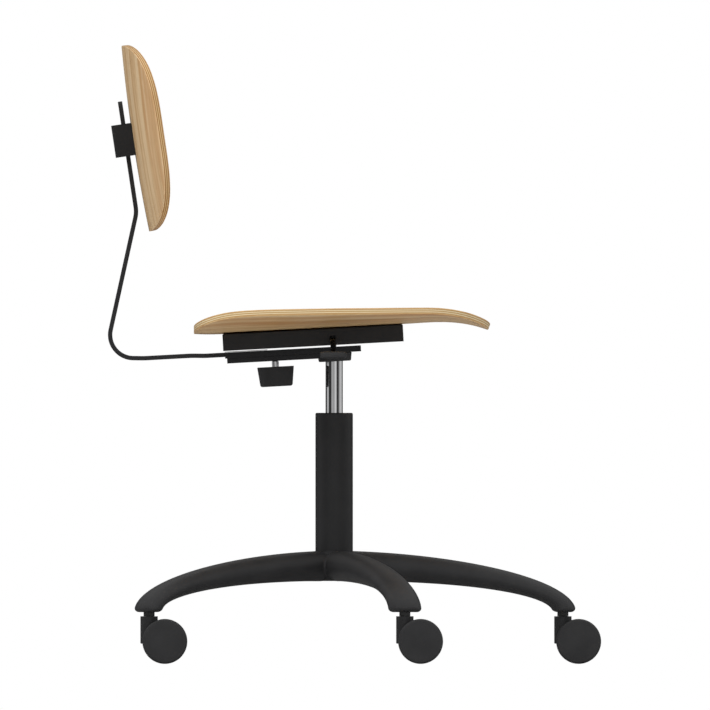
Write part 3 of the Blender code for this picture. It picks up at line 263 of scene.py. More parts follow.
def addNode(tree, kind, inputs=None, stops=(), **settings):
    # an input takes a value or another node's socket, settings are the node's own, stops fill a colour ramp;
    # Mix goes by number: 0 is its factor, 2 and 3 its values, 6 and 7 its colours
    made = tree.nodes.new("ShaderNode" + kind)
    for key, value in settings.items():
        setattr(made, key, value)
    for key, value in (inputs or {}).items():
        if isinstance(value, bpy.types.NodeSocket):
            tree.links.new(value, made.inputs[key])
        else:
            made.inputs[key].default_value = value
    for number, (place, tone) in enumerate(stops):
        ramp = made.color_ramp.elements
        element = ramp[number] if number < len(ramp) else ramp.new(place)
        element.position = place
        element.color = linear(tone)
    return made.outputs


def newFinish(name, fixed):
    # a material whose fixed values sit on the shader's own sockets
    material = bpy.data.materials.new(name)
    material.use_nodes = True
    shader = material.node_tree.nodes["Principled BSDF"]
    for key, value in fixed.items():
        shader.inputs[key].default_value = value
    return material, material.node_tree, shader


# where the two tones stand in the drift, the noises' detail, and the pits' depth as a share of the grain
mottle = {"darkAt": 0.35, "paleAt": 0.65, "driftDetail": 3.0, "pitDetail": 2.0, "pitDepth": 0.2}


def mottled(name, dark, pale, rough, grain, bump, patch=0.03, specular=0.5, metallic=0.0):
    # two close tones in soft patches, roughness that drifts with them, and a fine bump of the given grain
    m = mottle
    material, tree, shader = newFinish(name, {"Specular IOR Level": specular, "Metallic": metallic})
    place = addNode(tree, "TexCoord")["Object"]
    slow = {"Vector": place, "Scale": 1 / patch, "Detail": m["driftDetail"]}
    drift = addNode(tree, "TexNoise", slow)["Fac"]
    stops = [(m["darkAt"], dark), (m["paleAt"], pale)]
    tone = addNode(tree, "ValToRGB", {"Fac": drift}, stops=stops)["Color"]
    sheen = addNode(tree, "MapRange", {"Value": drift, "To Min": rough[0], "To Max": rough[1]})["Result"]
    pits = addNode(tree, "TexNoise", {"Vector": place, "Scale": 1 / grain, "Detail": m["pitDetail"]})["Fac"]
    fine = {"Strength": bump, "Distance": grain * m["pitDepth"], "Height": pits}
    relief = addNode(tree, "Bump", fine)["Normal"]
    tree.links.new(tone, shader.inputs["Base Color"])
    tree.links.new(sheen, shader.inputs["Roughness"])
    tree.links.new(relief, shader.inputs["Normal"])
    return material


# glass-filled nylon from a spark-eroded mould: even satin black, its grit of 0.5 mm drawn at 1.5 mm to show
mouldedNylon = mottled("moulded_nylon", "#272728", "#2c2c2d", (0.46, 0.56), 0.0015, 0.10, specular=0.30)
# epoxy powder coat on steel: near black, a faint orange peel about 2 mm across
powderCoat = mottled("powder_coated_steel", "#222223", "#252526", (0.42, 0.52), 0.002, 0.06, specular=0.22)
# ABS with a fine etched mould texture: dark and dry, little gloss
etchedAbs = mottled("etched_abs", "#1d1d1e", "#212122", (0.48, 0.58), 0.0012, 0.10, specular=0.22)
# soft polypropylene grip: a shade greyer than the steel round it
gripPlastic = mottled("polypropylene_grip", "#2a2a2b", "#2e2e2f", (0.45, 0.55), 0.0015, 0.08, specular=0.25)
# unfilled nylon of the caster bodies: darker and smoother than the glass-filled arms
plainNylon = mottled("unfilled_nylon", "#222223", "#262627", (0.44, 0.54), 0.0015, 0.08, specular=0.26)
# phenolic resin knob: hard, a shade paler than the block's etched ABS; the paler tone is painted light for
# the light the low-set knob lacks
phenolic = mottled("phenolic_resin", "#272728", "#2b2b2c", (0.46, 0.56), 0.0012, 0.08, specular=0.24)
# die-cast zinc under thin black paint, soft edges: a shade paler than the powder coat, which is painted light
# against the shade the paddle casts on the cup
zincCastingPaintedLight = mottled("painted_zinc_casting", "#29292a", "#2d2d2e", (0.46, 0.56), 0.0015, 0.08, specular=0.24)
# drawn wire, blacked and oiled, almost no gleam: the darkest part, darker than the other black steel as
# painted shade for the shadow under the seat it hangs in
wirePaintedShade = mottled("oiled_black_wire", "#0b0b0b", "#0f0f0f", (0.55, 0.65), 0.002, 0.04, specular=0.10)
# phosphated steel: a dull charcoal grey
phosphated = mottled("phosphated_steel", "#363636", "#3b3b3b", (0.55, 0.65), 0.002, 0.06, specular=0.22)
# acetal bush, cut on a lathe: plain black with a waxy sheen
acetalBush = mottled("acetal_bush", "#1a1a1b", "#1e1e1f", (0.35, 0.45), 0.001, 0.05, specular=0.3)
# nitrile rubber: dull and slightly grey
nitrileRubber = mottled("nitrile_rubber", "#161616", "#1c1c1c", (0.75, 0.85), 0.001, 0.12, specular=0.2)
# hard chrome, ground and polished: clear reflections, a trace of grinding haze
hardChrome = mottled("hard_chrome", "#c3c3c4", "#c9c9ca", (0.03, 0.06), 0.004, 0.003, metallic=1.0)
# zinc-plated steel: pale grey metal with a soft bloom
zincSteel = mottled("zinc_plated_steel", "#9fa0a2", "#b0b0b0", (0.26, 0.38), 0.003, 0.03, 0.012, metallic=1.0)
# steel blackened in hot oxide: very dark with a dull metal gleam
blackOxide = mottled("black_oxide_steel", "#161616", "#1b1b1b", (0.40, 0.50), 0.002, 0.05, specular=0.25)
# rolled brass strip: warm and slightly tarnished
rolledBrass = mottled("rolled_brass", "#b08d4c", "#c4a25e", (0.28, 0.40), 0.002, 0.03, 0.008, metallic=1.0)

oakLook = {
    "pore": "#8f6a3f", "flame": "#ae7944", "glue": "#7d5a33", "plies": 7,
    "leaf": 1.3,  # how deep in the log the veneer was cut
    "wander": 0.020, "wanderScale": (5.0, 9.0, 3.0),  # the grain's drift sideways, and how often
    # kinds of band: width, length before it fades, detail
    "streaks": (0.011, 0.30, 3.0),  # broad bands of the veneer
    "flames": (0.024, 0.30, 1.0),  # brown flames where the cut ran through the heartwood
    "rings": (0.0022, 0.18, 2.0),  # growth rings are about 1 mm, drawn at twice that to show
    "pores": (0.0011, 0.022, 1.0),  # pores of 0.3 mm drawn at about 1 mm
    "bandRough": 0.55, "ringShare": 0.30, "veneerStops": (0.37, 0.47, 0.60),
    # from where to where a mask grows, or for glue fades, and its weight
    "flameMask": (0.54, 0.74, 0.7), "poreMask": (0.60, 0.72, 0.35), "glueMask": (0.03, 0.09, 0.22),
    "speckSize": 1 / 420, "speckShare": 0.2, "plyStops": (0.2, 0.85),  # end grain specks of about 2.4 mm
    "gloss": (0.52, 0.38), "ringRelief": 0.5, "bump": 0.10, "bumpDepth": 0.0004,
}
lacquer = {"Coat Weight": 0.05, "Coat Roughness": 0.3, "Specular IOR Level": 0.18}


def oakPly(name, alongAxis, tones):
    # sliced oak veneer on bent plywood, clear satin lacquer: long bands, short dark pores, striped edges
    look = oakLook | tones
    material, tree, shader = newFinish(name, lacquer)
    place = addNode(tree, "TexCoord")["Object"]
    axes = addNode(tree, "SeparateXYZ", {"Vector": place})
    along, across = axes[alongAxis], axes["Y"]
    depth = addNode(tree, "Attribute", attribute_name="plyDepth")["Fac"]
    # the grain wanders sideways as it runs, and each ply is another leaf of the log
    board = addNode(tree, "CombineXYZ", {"X": along, "Y": across, "Z": depth})[0]
    slow = addNode(tree, "Mapping", {"Vector": board, "Scale": look["wanderScale"]})[0]
    wander = addNode(tree, "TexNoise", {"Vector": slow, "Scale": 1.0, "Detail": 2.0})["Fac"]
    drawn = addNode(tree, "Math", {0: wander, 1: look["wander"], 2: across}, operation="MULTIPLY_ADD")[0]
    grain = addNode(tree, "CombineXYZ", {"X": drawn, "Y": along, "Z": depth})[0]
    bands = {}
    for kind in ("streaks", "flames", "rings", "pores"):
        width, length, detail = look[kind]
        spread = {"Scale": (1 / width, 1 / length, look["plies"]), "Location": (0, 0, look["leaf"])}
        spot = addNode(tree, "Mapping", {"Vector": grain} | spread)[0]
        noise = {"Vector": spot, "Scale": 1.0, "Detail": detail, "Roughness": look["bandRough"]}
        bands[kind] = addNode(tree, "TexNoise", noise)["Fac"]
    blend = addNode(tree, "Mix", {0: look["ringShare"], 2: bands["streaks"], 3: bands["rings"]})[0]
    # on the edge each ply shows in turn, long grain pale and end grain darker, with a thin glue line between
    count = addNode(tree, "Math", {0: depth, 1: look["plies"]}, operation="MULTIPLY")[0]
    twos = addNode(tree, "Math", {0: count, 1: 2.0}, operation="MODULO")[0]
    odd = addNode(tree, "Math", {0: twos, 1: 1.0}, operation="GREATER_THAN")[0]
    speck = addNode(tree, "TexNoise", {"Vector": place, "Scale": 1 / look["speckSize"], "Detail": 2.0})["Fac"]
    shade = addNode(tree, "Mix", {0: look["speckShare"], 2: odd, 3: speck})[0]
    seam = addNode(tree, "Math", {0: count, 1: 0.5}, operation="PINGPONG")[0]
    masks = {}
    for kind, source in (("flame", bands["flames"]), ("pore", bands["pores"]), ("glue", seam)):
        start, full, weight = look[kind + "Mask"]
        ends = (weight, 0.0) if kind == "glue" else (0.0, weight)  # glue is darkest on the seam
        reach = {"From Min": start, "From Max": full, "To Min": ends[0], "To Max": ends[1]}
        masks[kind] = addNode(tree, "MapRange", {"Value": source} | reach)["Result"]
    stops = list(zip(look["veneerStops"], (look["brown"], look["middle"], look["pale"])))
    veneer = addNode(tree, "ValToRGB", {"Fac": blend}, stops=stops)["Color"]
    for kind in ("flame", "pore"):
        veneer = addNode(tree, "Mix", {0: masks[kind], 6: veneer, 7: linear(look[kind])}, data_type="RGBA")[2]
    stops = list(zip(look["plyStops"], (look["plyPale"], look["plyDark"])))
    ply = addNode(tree, "ValToRGB", {"Fac": shade}, stops=stops)["Color"]
    ply = addNode(tree, "Mix", {0: masks["glue"], 6: ply, 7: linear(look["glue"])}, data_type="RGBA")[2]
    inside = addNode(tree, "Math", {0: depth, 1: 0.5}, operation="PINGPONG")[0]
    edge = addNode(tree, "Math", {0: inside, 1: 1 / look["plies"]}, operation="GREATER_THAN")[0]
    tone = addNode(tree, "Mix", {0: edge, 6: veneer, 7: ply}, data_type="RGBA")[2]
    sheen = {"To Min": look["gloss"][0], "To Max": look["gloss"][1]}
    gloss = addNode(tree, "MapRange", {"Value": blend} | sheen)["Result"]
    rings = addNode(tree, "Math", {0: bands["rings"], 1: look["ringRelief"]}, operation="MULTIPLY")[0]
    height = addNode(tree, "Math", {0: rings, 1: masks["pore"]}, operation="SUBTRACT")[0]
    relief = {"Strength": look["bump"], "Distance": look["bumpDepth"], "Height": height}
    tree.links.new(tone, shader.inputs["Base Color"])
    tree.links.new(gloss, shader.inputs["Roughness"])
    tree.links.new(addNode(tree, "Bump", relief)["Normal"], shader.inputs["Normal"])
    return material


# the seat's tones are set browner and warmer than the back's: painted shade and painted warm bounce light of
# the seat's underside
oakSeat = oakPly("oak_plywood_seat", "X", {
    "pale": "#cdb084", "middle": "#c09c6d", "brown": "#a3794a", "plyPale": "#d2c29d", "plyDark": "#ad8857"})
oakBack = oakPly("oak_plywood_back", "Z", {
    "pale": "#cdb28c", "middle": "#c3a47b", "brown": "#b28d61", "plyPale": "#c4a87b", "plyDark": "#95693a"})
print("finishes made:", len(bpy.data.materials))

# casters

caster = {
    "trail": 0.021, "footZ": 0.069,
    "stemRadius": 0.0055, "grip": 0.016, "tipRadius": 0.0044, "tipLength": 0.0016,
    "collarRadius": 0.0074, "collarGap": 0.00005,
    "stemRounds": [0.0002, 0.0003, 0.0001, 0.0002, 0.0002, 0.0001, 0.0004],
    "barrelRadius": 0.0116, "barrelTop": 0.0636, "barrelBottom": 0.027, "bore": 0.0058, "boreFloor": 0.033,
    "barrelRounds": [0.0012, 0.0006, 0.0003, 0.0003],
    "armHalf": 0.0095, "armTop": 0.044, "armInner": 0.0063, "heelRise": 0.001, "heelX": 0.0105,
    "shoulderX": 0.0152, "armRound": 0.002, "armTopRound": 0.0005, "shoulderRound": 0.003,
    "bossRadius": 0.0085, "bossShare": 0.99,  # a whole boss would leave no flat between its two arcs
    "edgeStart": 0.93, "edgeDraw": 0.95,
}
wheel = {
    "radius": 0.030, "width": 0.014, "dome": 0.0012, "rimWall": 0.0055, "bossRadius": 0.0095,
    "recess": 0.0035, "draft": 0.0005, "bore": 0.0043, "boreDepth": 0.010,
    "rounds": [0.0032, 0.0012, 0.0004, 0.0006, 0.0006, 0.0004, 0.0002, 0.0002],
}


def wheelProfile():
    # (radius, depth) from the domed outer face over the tread, along the recessed inner face, into the bore
    w = wheel
    rim, boss = w["radius"] - w["rimWall"], w["bossRadius"]
    corners = [(0, w["width"]), (w["radius"], w["width"] - w["dome"]), (w["radius"], 0), (rim, 0)]
    corners += [(rim - w["draft"], w["recess"]), (boss + w["draft"], w["recess"]), (boss, 0)]
    corners += [(w["bore"], 0), (w["bore"], w["boreDepth"]), (0, w["boreDepth"])]
    return roundedPath(corners, w["rounds"], steps=6)


def axleArm():
    # seen from the side, with its round boss at the axle; repeated across, and drawn in at both faces
    c = caster
    boss = c["bossRadius"]
    low, high, front = wheel["radius"] - boss, wheel["radius"] + boss, c["trail"] + boss
    corners = [(c["armInner"], c["armTop"]), (c["armInner"], c["barrelBottom"] + c["heelRise"])]
    corners += [(c["heelX"], low), (front, low), (front, high), (c["shoulderX"], c["armTop"])]
    rounds = [c["armTopRound"], c["armRound"], c["armRound"]]
    rounds += [boss * c["bossShare"]] * 2 + [c["shoulderRound"]]
    across = np.array([-1, -c["edgeStart"], c["edgeStart"], 1]) * c["armHalf"]
    arm = extruded(roundedPath(corners, rounds, steps=8, closed=True), across, "XZ")
    middle = arm.mean((0, 1))
    arm[[0, -1]] = middle + (arm[[0, -1]] - middle) * np.array([c["edgeDraw"], 1, c["edgeDraw"]])
    return arm


def buildCaster(number):
    # the stem and the barrel are turned about the swivel, each wheel about its axle
    c = caster
    x, y, _ = joints[f"caster_{number}_swivel"]["pos_m"]
    top, collarTop = c["footZ"] + c["grip"], c["footZ"] + gap
    collarFoot, end = c["barrelTop"] + c["collarGap"], c["boreFloor"] + gap
    stem = [(0, top), (c["tipRadius"], top), (c["stemRadius"], top - c["tipLength"])]
    stem += [(c["stemRadius"], collarTop), (c["collarRadius"], collarTop), (c["collarRadius"], collarFoot)]
    stem += [(c["stemRadius"], collarFoot), (c["stemRadius"], end), (0, end)]
    stem = turned(roundedPath(stem, c["stemRounds"], steps=3), segments=40, axis=(x, y))
    makePiece(f"casterStem{number}", [ringGrid(stem)], phosphated, "base", "black_steel",
              [f"caster_stem_{number}"])
    barrel = [(0, c["barrelBottom"]), (c["barrelRadius"], c["barrelBottom"])]
    barrel += [(c["barrelRadius"], c["barrelTop"]), (c["bore"], c["barrelTop"])]
    barrel += [(c["bore"], c["boreFloor"]), (0, c["boreFloor"])]
    barrel = turned(roundedPath(barrel, c["barrelRounds"], steps=4), segments=56, axis=(x, y))
    grids = [ringGrid(barrel), ringGrid(axleArm() + np.array([x, y, 0]), caps=True)]
    makePiece(f"casterBody{number}", grids, plainNylon, f"caster_{number}", "black_nylon",
              [f"caster_body_{number}"])
    a, b, depth = np.moveaxis(turned(wheelProfile(), segments=96), -1, 0)
    for side, sign in (("left", 1), ("right", -1)):
        x, y, z = joints[f"wheel_{number}_{side}_roll"]["pos_m"]
        rim = ringGrid(np.stack([x + a, y + sign * depth, z + b], -1))
        makePiece(f"wheel{number}{side.title()}", [rim], mouldedNylon, f"wheel_{number}_{side}_body",
                  "black_nylon", [f"wheel_{number}_{side}"])


for number in range(1, arms + 1):
    buildCaster(number)
print("casters built")

# star base

star = {
    "half": 0.02515, "wall": 0.004, "rise": 0.082, "underRise": 0.0416, "footZ": caster["footZ"],
    "stem": 0.305, "reach": 0.3226, "heel": 0.2912, "topPower": 1.78, "underPower": 2.27, "shoulder": 2.55,
    "footLength": 0.0314, "footRound": 0.0075, "footRows": 10, "pinch": 0.0172, "pinchPower": 4.5,
    # sections from the hub to the foot, in degrees along the arm: first, last, how many
    "stations": [(83, 81.7, 3), (81.5, 78.5, 7), (77, 29, 33), (28, 24.5, 12), (23, 5, 14)],
    "sectionSteps": 45, "ribSteps": 25,
    "pocketFirst": 79.0, "pocketLast": 25.0, "pocketHalf": 0.0055, "pocketPower": 6.0, "pocketDraft": 2.2,
    "cells": 5, "rib": 0.003, "ribSunk": 0.06, "ribLet": 0.0005, "ribInCrown": 0.6,
    "hubTop": 0.148, "hubBottom": 0.1106, "hubRadius": 0.0285, "hubFlat": 0.027, "hubFall": 0.0015,
    "hubBore": 0.0253, "ledge": 0.0200, "ledgeTop": 0.114,
    "hubRounds": [0.0003, 0.0005, 0.0005, 0.001, 0.0008, 0.0008, 0.0005],
    "rootEnd": 0.052, "rootBore": 0.0258, "rootLining": 0.0001, "fillet": 0.0025, "crownHalf": 0.00002,
    "rootSteps": 12, "rootFill": [0, 0.3, 0.6, 0.85],
}


def armPoint(phi, share, y):
    # underside and crown follow two superellipse arcs; share mixes from the underside (0) to the crown (1)
    s = star
    topR = s["reach"] * np.cos(phi) ** (2 / s["topPower"])
    lowR = s["heel"] * np.cos(phi) ** (2 / s["underPower"])
    topZ, lowZ = s["rise"] * np.sin(phi), s["underRise"] * np.sin(phi)
    r = lowR + (topR - lowR) * share
    return np.stack(np.broadcast_arrays(r, y, s["footZ"] + lowZ + (topZ - lowZ) * share), -1)


def armDepth(phi):
    # distance from the underside's line to the crown's
    return np.linalg.norm(armPoint(phi, 1.0, 0.0) - armPoint(phi, 0.0, 0.0), axis=-1)


def halfEllipse(steps, power):
    # across = cos^(2/n), share = sin^(2/n) from one lower edge over the crown to the other
    theta = pi * smoothStep(np.linspace(0, 1, steps))
    across = np.sign(np.cos(theta)) * abs(np.cos(theta)) ** (2 / power)
    share = np.clip(np.sin(theta), 0, 1) ** (2 / power)
    share[[0, -1]] = 0
    return across[None], share[None]


def armSkin():
    # each row is one section: the outer half ellipse, its lower edges pinched together by (1 - share)^n, over
    # the crown and back along the narrow pocket's inner wall
    s = star
    run = np.concatenate([np.linspace(*stretch) for stretch in s["stations"]])
    curl = np.radians(np.linspace(0, 90, s["footRows"]))[1:]
    phi = np.radians(np.concatenate([run, run[-1] * (1 - np.sin(curl))]))[:, None]
    inset = np.concatenate([0 * run, s["footRound"] * (1 - np.cos(curl))])[:, None]
    across, share = halfEllipse(s["sectionSteps"], s["shoulder"])
    pinch = s["pinch"] / s["half"] * (1 - share) ** s["pinchPower"]
    degrees = np.degrees(phi)
    hollow = smoothStep((degrees - s["pocketLast"]) / s["pocketDraft"])
    hollow = hollow * smoothStep((s["pocketFirst"] + s["pocketDraft"] - degrees) / s["pocketDraft"])
    crown = (1 - s["wall"] / armDepth(phi)) * hollow
    draw = lambda x: 0.5 + (x - 0.5) * (1 - 2 * inset / s["footLength"])
    outer = armPoint(phi, draw(share), (s["half"] - inset) * (1 - pinch) * across)
    across, share = halfEllipse(s["sectionSteps"], s["pocketPower"])
    inner = armPoint(phi, draw(share * crown), s["pocketHalf"] * (1 - inset / s["half"]) * across)
    return np.concatenate([outer, inner[:, ::-1]], 1)


def armRibs():
    # a cross rib between each two cells, a closed plate let into the pocket's walls and crown
    s = star
    ribs = []
    across, share = halfEllipse(s["ribSteps"], s["pocketPower"])
    for edge in np.linspace(s["pocketFirst"], s["pocketLast"], s["cells"] + 1)[1:-1]:
        mid = radians(edge)
        slim = s["rib"] / 2 / (s["stem"] * sin(mid))
        phi = np.array([[mid + slim], [mid - slim]])
        crown = 1 - s["wall"] * s["ribInCrown"] / armDepth(phi)
        rise = s["ribSunk"] + (crown - s["ribSunk"]) * share
        ribs.append(ringGrid(armPoint(phi, rise, (s["pocketHalf"] + s["ribLet"]) * across), caps=True))
    return ribs


def armRoots():
    # the arms run together round the column: in from the end of each root, along its flank, and round an arc
    # that touches both flanks; rows follow the arm's section, and the inner wall stands just off the tube
    s = star
    toCrown = s["sectionSteps"] // 2 + 1
    across, share = (row[:, :toCrown].T for row in halfEllipse(s["sectionSteps"], s["shoulder"]))
    pinch = s["pinch"] / s["half"] * (1 - share) ** s["pinchPower"]
    wide = np.clip(s["half"] * across, s["crownHalf"], None) * (1 - pinch)
    sector = pi / arms
    touch = (wide + s["fillet"]) / tan(sector)
    bend = np.linspace(-pi / 2, -pi + sector, s["rootSteps"])[None, 1:]
    fill, flank = np.array([s["rootFill"]]), np.linspace(0, 1, s["rootSteps"])[None]
    along = [s["rootEnd"] + 0 * wide * fill, s["rootEnd"] + (touch - s["rootEnd"]) * flank]
    along = np.concatenate(along + [touch + s["fillet"] * np.cos(bend)], 1)
    out = np.concatenate([wide * fill, wide + 0 * flank, wide + s["fillet"] * (1 + np.sin(bend))], 1)
    angle = np.arctan2(out, along)
    r = np.maximum(np.hypot(along, out), s["rootBore"])
    along = r * np.cos(angle)
    low = s["underRise"] * np.sqrt(1 - (along / s["heel"]) ** s["underPower"])
    top = s["rise"] * np.sqrt(1 - (along / s["reach"]) ** s["topPower"])
    half = np.stack([along, r * np.sin(angle), s["footZ"] + low + (top - low) * share], -1)
    lobe = np.concatenate([half[:, :0:-1] * np.array([1, -1, 1]), half], 1)
    inner = lobe[::-1]
    shrink = (s["rootBore"] - s["rootLining"]) / np.hypot(inner[..., 0], inner[..., 1])
    inner = inner * np.stack([shrink, shrink, np.ones(shrink.shape)], -1)
    lobe = np.concatenate([lobe, inner])
    lobes = [aroundColumn(lobe, tau * number / arms) for number in range(arms)]
    return ringGrid(np.concatenate(lobes, 1), loopRows=True)


def aroundColumn(points, angle):
    # turned about the column: (x cos - y sin, x sin + y cos, z)
    x, y, z = np.moveaxis(points, -1, 0)
    return np.stack([columnX + x * cos(angle) - y * sin(angle), x * sin(angle) + y * cos(angle), z], -1)


def buildBase():
    # the hub is a ring turned about the column; skin and ribs of one arm are turned round to the five
    s = star
    hub = [(s["hubBore"], s["hubTop"]), (s["hubFlat"], s["hubTop"])]
    hub += [(s["hubRadius"], s["hubTop"] - s["hubFall"]), (s["hubRadius"], s["hubBottom"])]
    hub += [(s["ledge"], s["hubBottom"]), (s["ledge"], s["ledgeTop"]), (s["hubBore"], s["ledgeTop"])]
    hub = roundedPath(hub, s["hubRounds"], steps=6, closed=True)
    hub = turned(hub, segments=96, axis=(columnX, 0))
    grids = [ringGrid(hub, loopRows=True), armRoots()]
    for number in range(arms):
        angle = tau * number / arms
        grids.append(ringGrid(aroundColumn(armSkin(), angle), caps=True))
        grids += [rib | {"points": aroundColumn(rib["points"], angle)} for rib in armRibs()]
    makePiece("starBase", grids, mouldedNylon, "base", "black_nylon", ["star_base"], sharp=42)


buildBase()
print("star base built")

# column and gas lift

lift = {
    "tubeRadius": 0.025, "tubeInner": 0.023, "tubeBottom": 0.1143, "tubeTop": 0.3348, "tubeFloor": 0.004,
    "lip": 0.0002, "rodHole": 0.0043, "tubeRounds": [0.0001, 0.00204, 0.001, 0.0003, 0.0003, 0.0005],
    "cylinderRadius": 0.0115, "cylinderInner": 0.0092, "cylinderLength": 0.229, "chamfer": 0.001,
    "gland": 0.0053, "glandLength": 0.018, "valve": 0.0033, "valveLength": 0.025, "edge": 0.0002,
}
carrier = {"z": 0.423, "lean": radians(3.1), "channelDepth": 0.0081}


def onCarrier(points):
    # from the carrier's own frame (u ahead, y, w up from its top at the column) into the scene
    return tilted(points, (columnX, carrier["z"]), carrier["lean"])


def buildLift():
    # tube and cylinder are rings turned about the column; the cylinder's top stands under the tilted channel
    t = lift
    floorTop = t["tubeBottom"] + t["tubeFloor"]
    tube = [(t["tubeInner"] - t["lip"], t["tubeTop"]), (t["tubeRadius"], t["tubeTop"])]
    tube += [(t["tubeRadius"], t["tubeBottom"]), (t["rodHole"], t["tubeBottom"])]
    tube += [(t["rodHole"], floorTop), (t["tubeInner"], floorTop)]
    tube = turned(roundedPath(tube, t["tubeRounds"], steps=7, closed=True), segments=96, axis=(columnX, 0))
    makePiece("columnTube", [ringGrid(tube, loopRows=True)], powderCoat, "base", "black_steel",
              ["column_tube"])
    under = (carrier["channelDepth"] + gap) / cos(carrier["lean"])
    top = carrier["z"] - under - t["cylinderRadius"] * tan(carrier["lean"])
    bottom = top - t["cylinderLength"]
    edge = t["cylinderRadius"] - t["chamfer"]
    shell = [(t["valve"], top), (edge, top), (t["cylinderRadius"], top - t["chamfer"])]
    shell += [(t["cylinderRadius"], bottom + t["chamfer"]), (edge, bottom), (t["gland"], bottom)]
    shell += [(t["gland"], bottom + t["glandLength"]), (t["cylinderInner"], bottom + t["glandLength"])]
    shell += [(t["cylinderInner"], top - t["valveLength"]), (t["valve"], top - t["valveLength"])]
    shell = turned(roundedPath(shell, t["edge"], steps=3, closed=True), segments=96, axis=(columnX, 0))
    makePiece("gasCylinder", [ringGrid(shell, loopRows=True)], hardChrome, "seat", "chrome",
              ["gas_cylinder"])


buildLift()
print("lift built")

# seat carrier: channels, cup and pan

steel = {
    "channelRear": -0.146, "channelFront": 0.0356, "channelHalf": 0.0223, "wall": 0.002, "floor": 0.0019,
    "clampRear": -0.1435, "clampFront": -0.0185, "clampHalf": 0.017, "clampTop": -0.0081,
    "clampDepth": 0.0067, "clampSheet": 0.0015,
    "cupRadius": 0.023, "cupFoot": 0.0215, "cupDepth": 0.0115, "cupRim": 0.002, "cupWeb": 0.004,
    "sleeve": 0.0152, "cupBore": 0.0126,
    "cupRounds": [0.0004, 0.0008, 0.0018, 0.0002, 0.001, 0.001, 0.0005, 0.0004],
    "knobU": -0.0795, "fold": 0.0008, "edge": 0.0003,
    "padHole": 0.0086, "buttonHole": 0.0042, "screwHole": 0.0043,
    # how far the holes' cutters reach, in the carrier's w
    "channelCut": (-0.011, -0.0045), "clampCut": (-0.018, -0.0125), "cupCut": (-0.03, 0.0),
}
pan = {
    "rear": -0.148, "length": 0.241, "half": 0.060, "sheet": 0.0015, "fold": 0.0018, "lift": 0.0021,
    "corner": 0.004, "leastCorner": 0.0006, "sideSteps": 6, "foldSteps": 6, "wallShare": 0.8,
    "topShares": (0.9, 0.75, 0.55, 0.35, 0.15, 0.0),
    "slotU": (-0.0053, 0.0025), "slotW": (0.0040, 0.0148), "slotY": (-0.064, -0.056), "slotRound": 0.0012,
}


def foldedChannel(half, depth, wall, floor, top):
    # a U of sheet seen from its end: outer folds wide, inner folds tight
    outline = [(-half, top), (-half, top - depth), (half, top - depth), (half, top)]
    outline += [(half - wall, top), (half - wall, top - depth + floor)]
    outline += [(wall - half, top - depth + floor), (wall - half, top)]
    edge, fold = steel["edge"], steel["fold"]
    return roundedPath(outline, [edge, fold, fold] + [edge] * 5, steps=5, closed=True)


def roundHole(radius, u, levels, segments=40):
    # a cylinder square to the carrier, from one level to the other
    wall = turned([(radius, level) for level in levels], segments, axis=(u, 0))
    return ringGrid(onCarrier(wall), caps=True)


def buildCarrier():
    # two folded channels carried along the carrier with holes cut through, and a cup turned about its w
    s = steel
    section = foldedChannel(s["channelHalf"], carrier["channelDepth"], s["wall"], s["floor"], 0.0)
    rail = ringGrid(onCarrier(carried([(s["channelRear"], 0), (s["channelFront"], 0)], section)), caps=True)
    channel = makePiece("barChannel", [rail], powderCoat, "seat", "black_steel", ["bar_channel"])
    cutOut(channel, [roundHole(s["padHole"], s["knobU"], s["channelCut"]),
                     roundHole(s["buttonHole"], 0.0, s["channelCut"])])
    softEdges(channel, s["edge"])
    section = foldedChannel(s["clampHalf"], s["clampDepth"], s["clampSheet"], s["clampSheet"], s["clampTop"])
    rail = ringGrid(onCarrier(carried([(s["clampRear"], 0), (s["clampFront"], 0)], section)), caps=True)
    clamp = makePiece("clampChannel", [rail], powderCoat, "seat", "black_steel", ["clamp_channel"])
    cutOut(clamp, [roundHole(s["screwHole"], s["knobU"], s["clampCut"]),
                   roundHole(s["cupRadius"] + 2 * gap, 0.0, s["cupCut"], segments=96)])
    softEdges(clamp, s["edge"])
    foot, roof = s["clampTop"] - s["cupDepth"], s["clampTop"] - s["cupWeb"]
    groove = s["cupFoot"] - s["cupRim"]
    cup = [(s["cupBore"], s["clampTop"]), (s["cupRadius"], s["clampTop"]), (s["cupFoot"], foot)]
    cup += [(groove, foot), (groove, roof), (s["sleeve"], roof), (s["sleeve"], foot), (s["cupBore"], foot)]
    cup = turned(roundedPath(cup, s["cupRounds"], steps=5, closed=True), segments=80)
    makePiece("liftCup", [ringGrid(onCarrier(cup), loopRows=True)], zincCastingPaintedLight, "seat", "black_steel",
              ["lift_cup"])


seat = {
    "depth": 0.392, "width": 0.400, "ahead": 0.0101, "power": 5.0, "ply": 0.009, "edgeRound": 0.0014,
    "height": 0.0248, "sideRise": 0.0173, "sideFront": 0.0073, "sideRear": 0.025, "rearFall": 0.54,
    "fallPower": 10, "rollStart": 0.120, "rollDrop": 0.0157, "rollPower": 2.5, "bowRadius": 11.4,
    "rearLift": 0.0022,
}


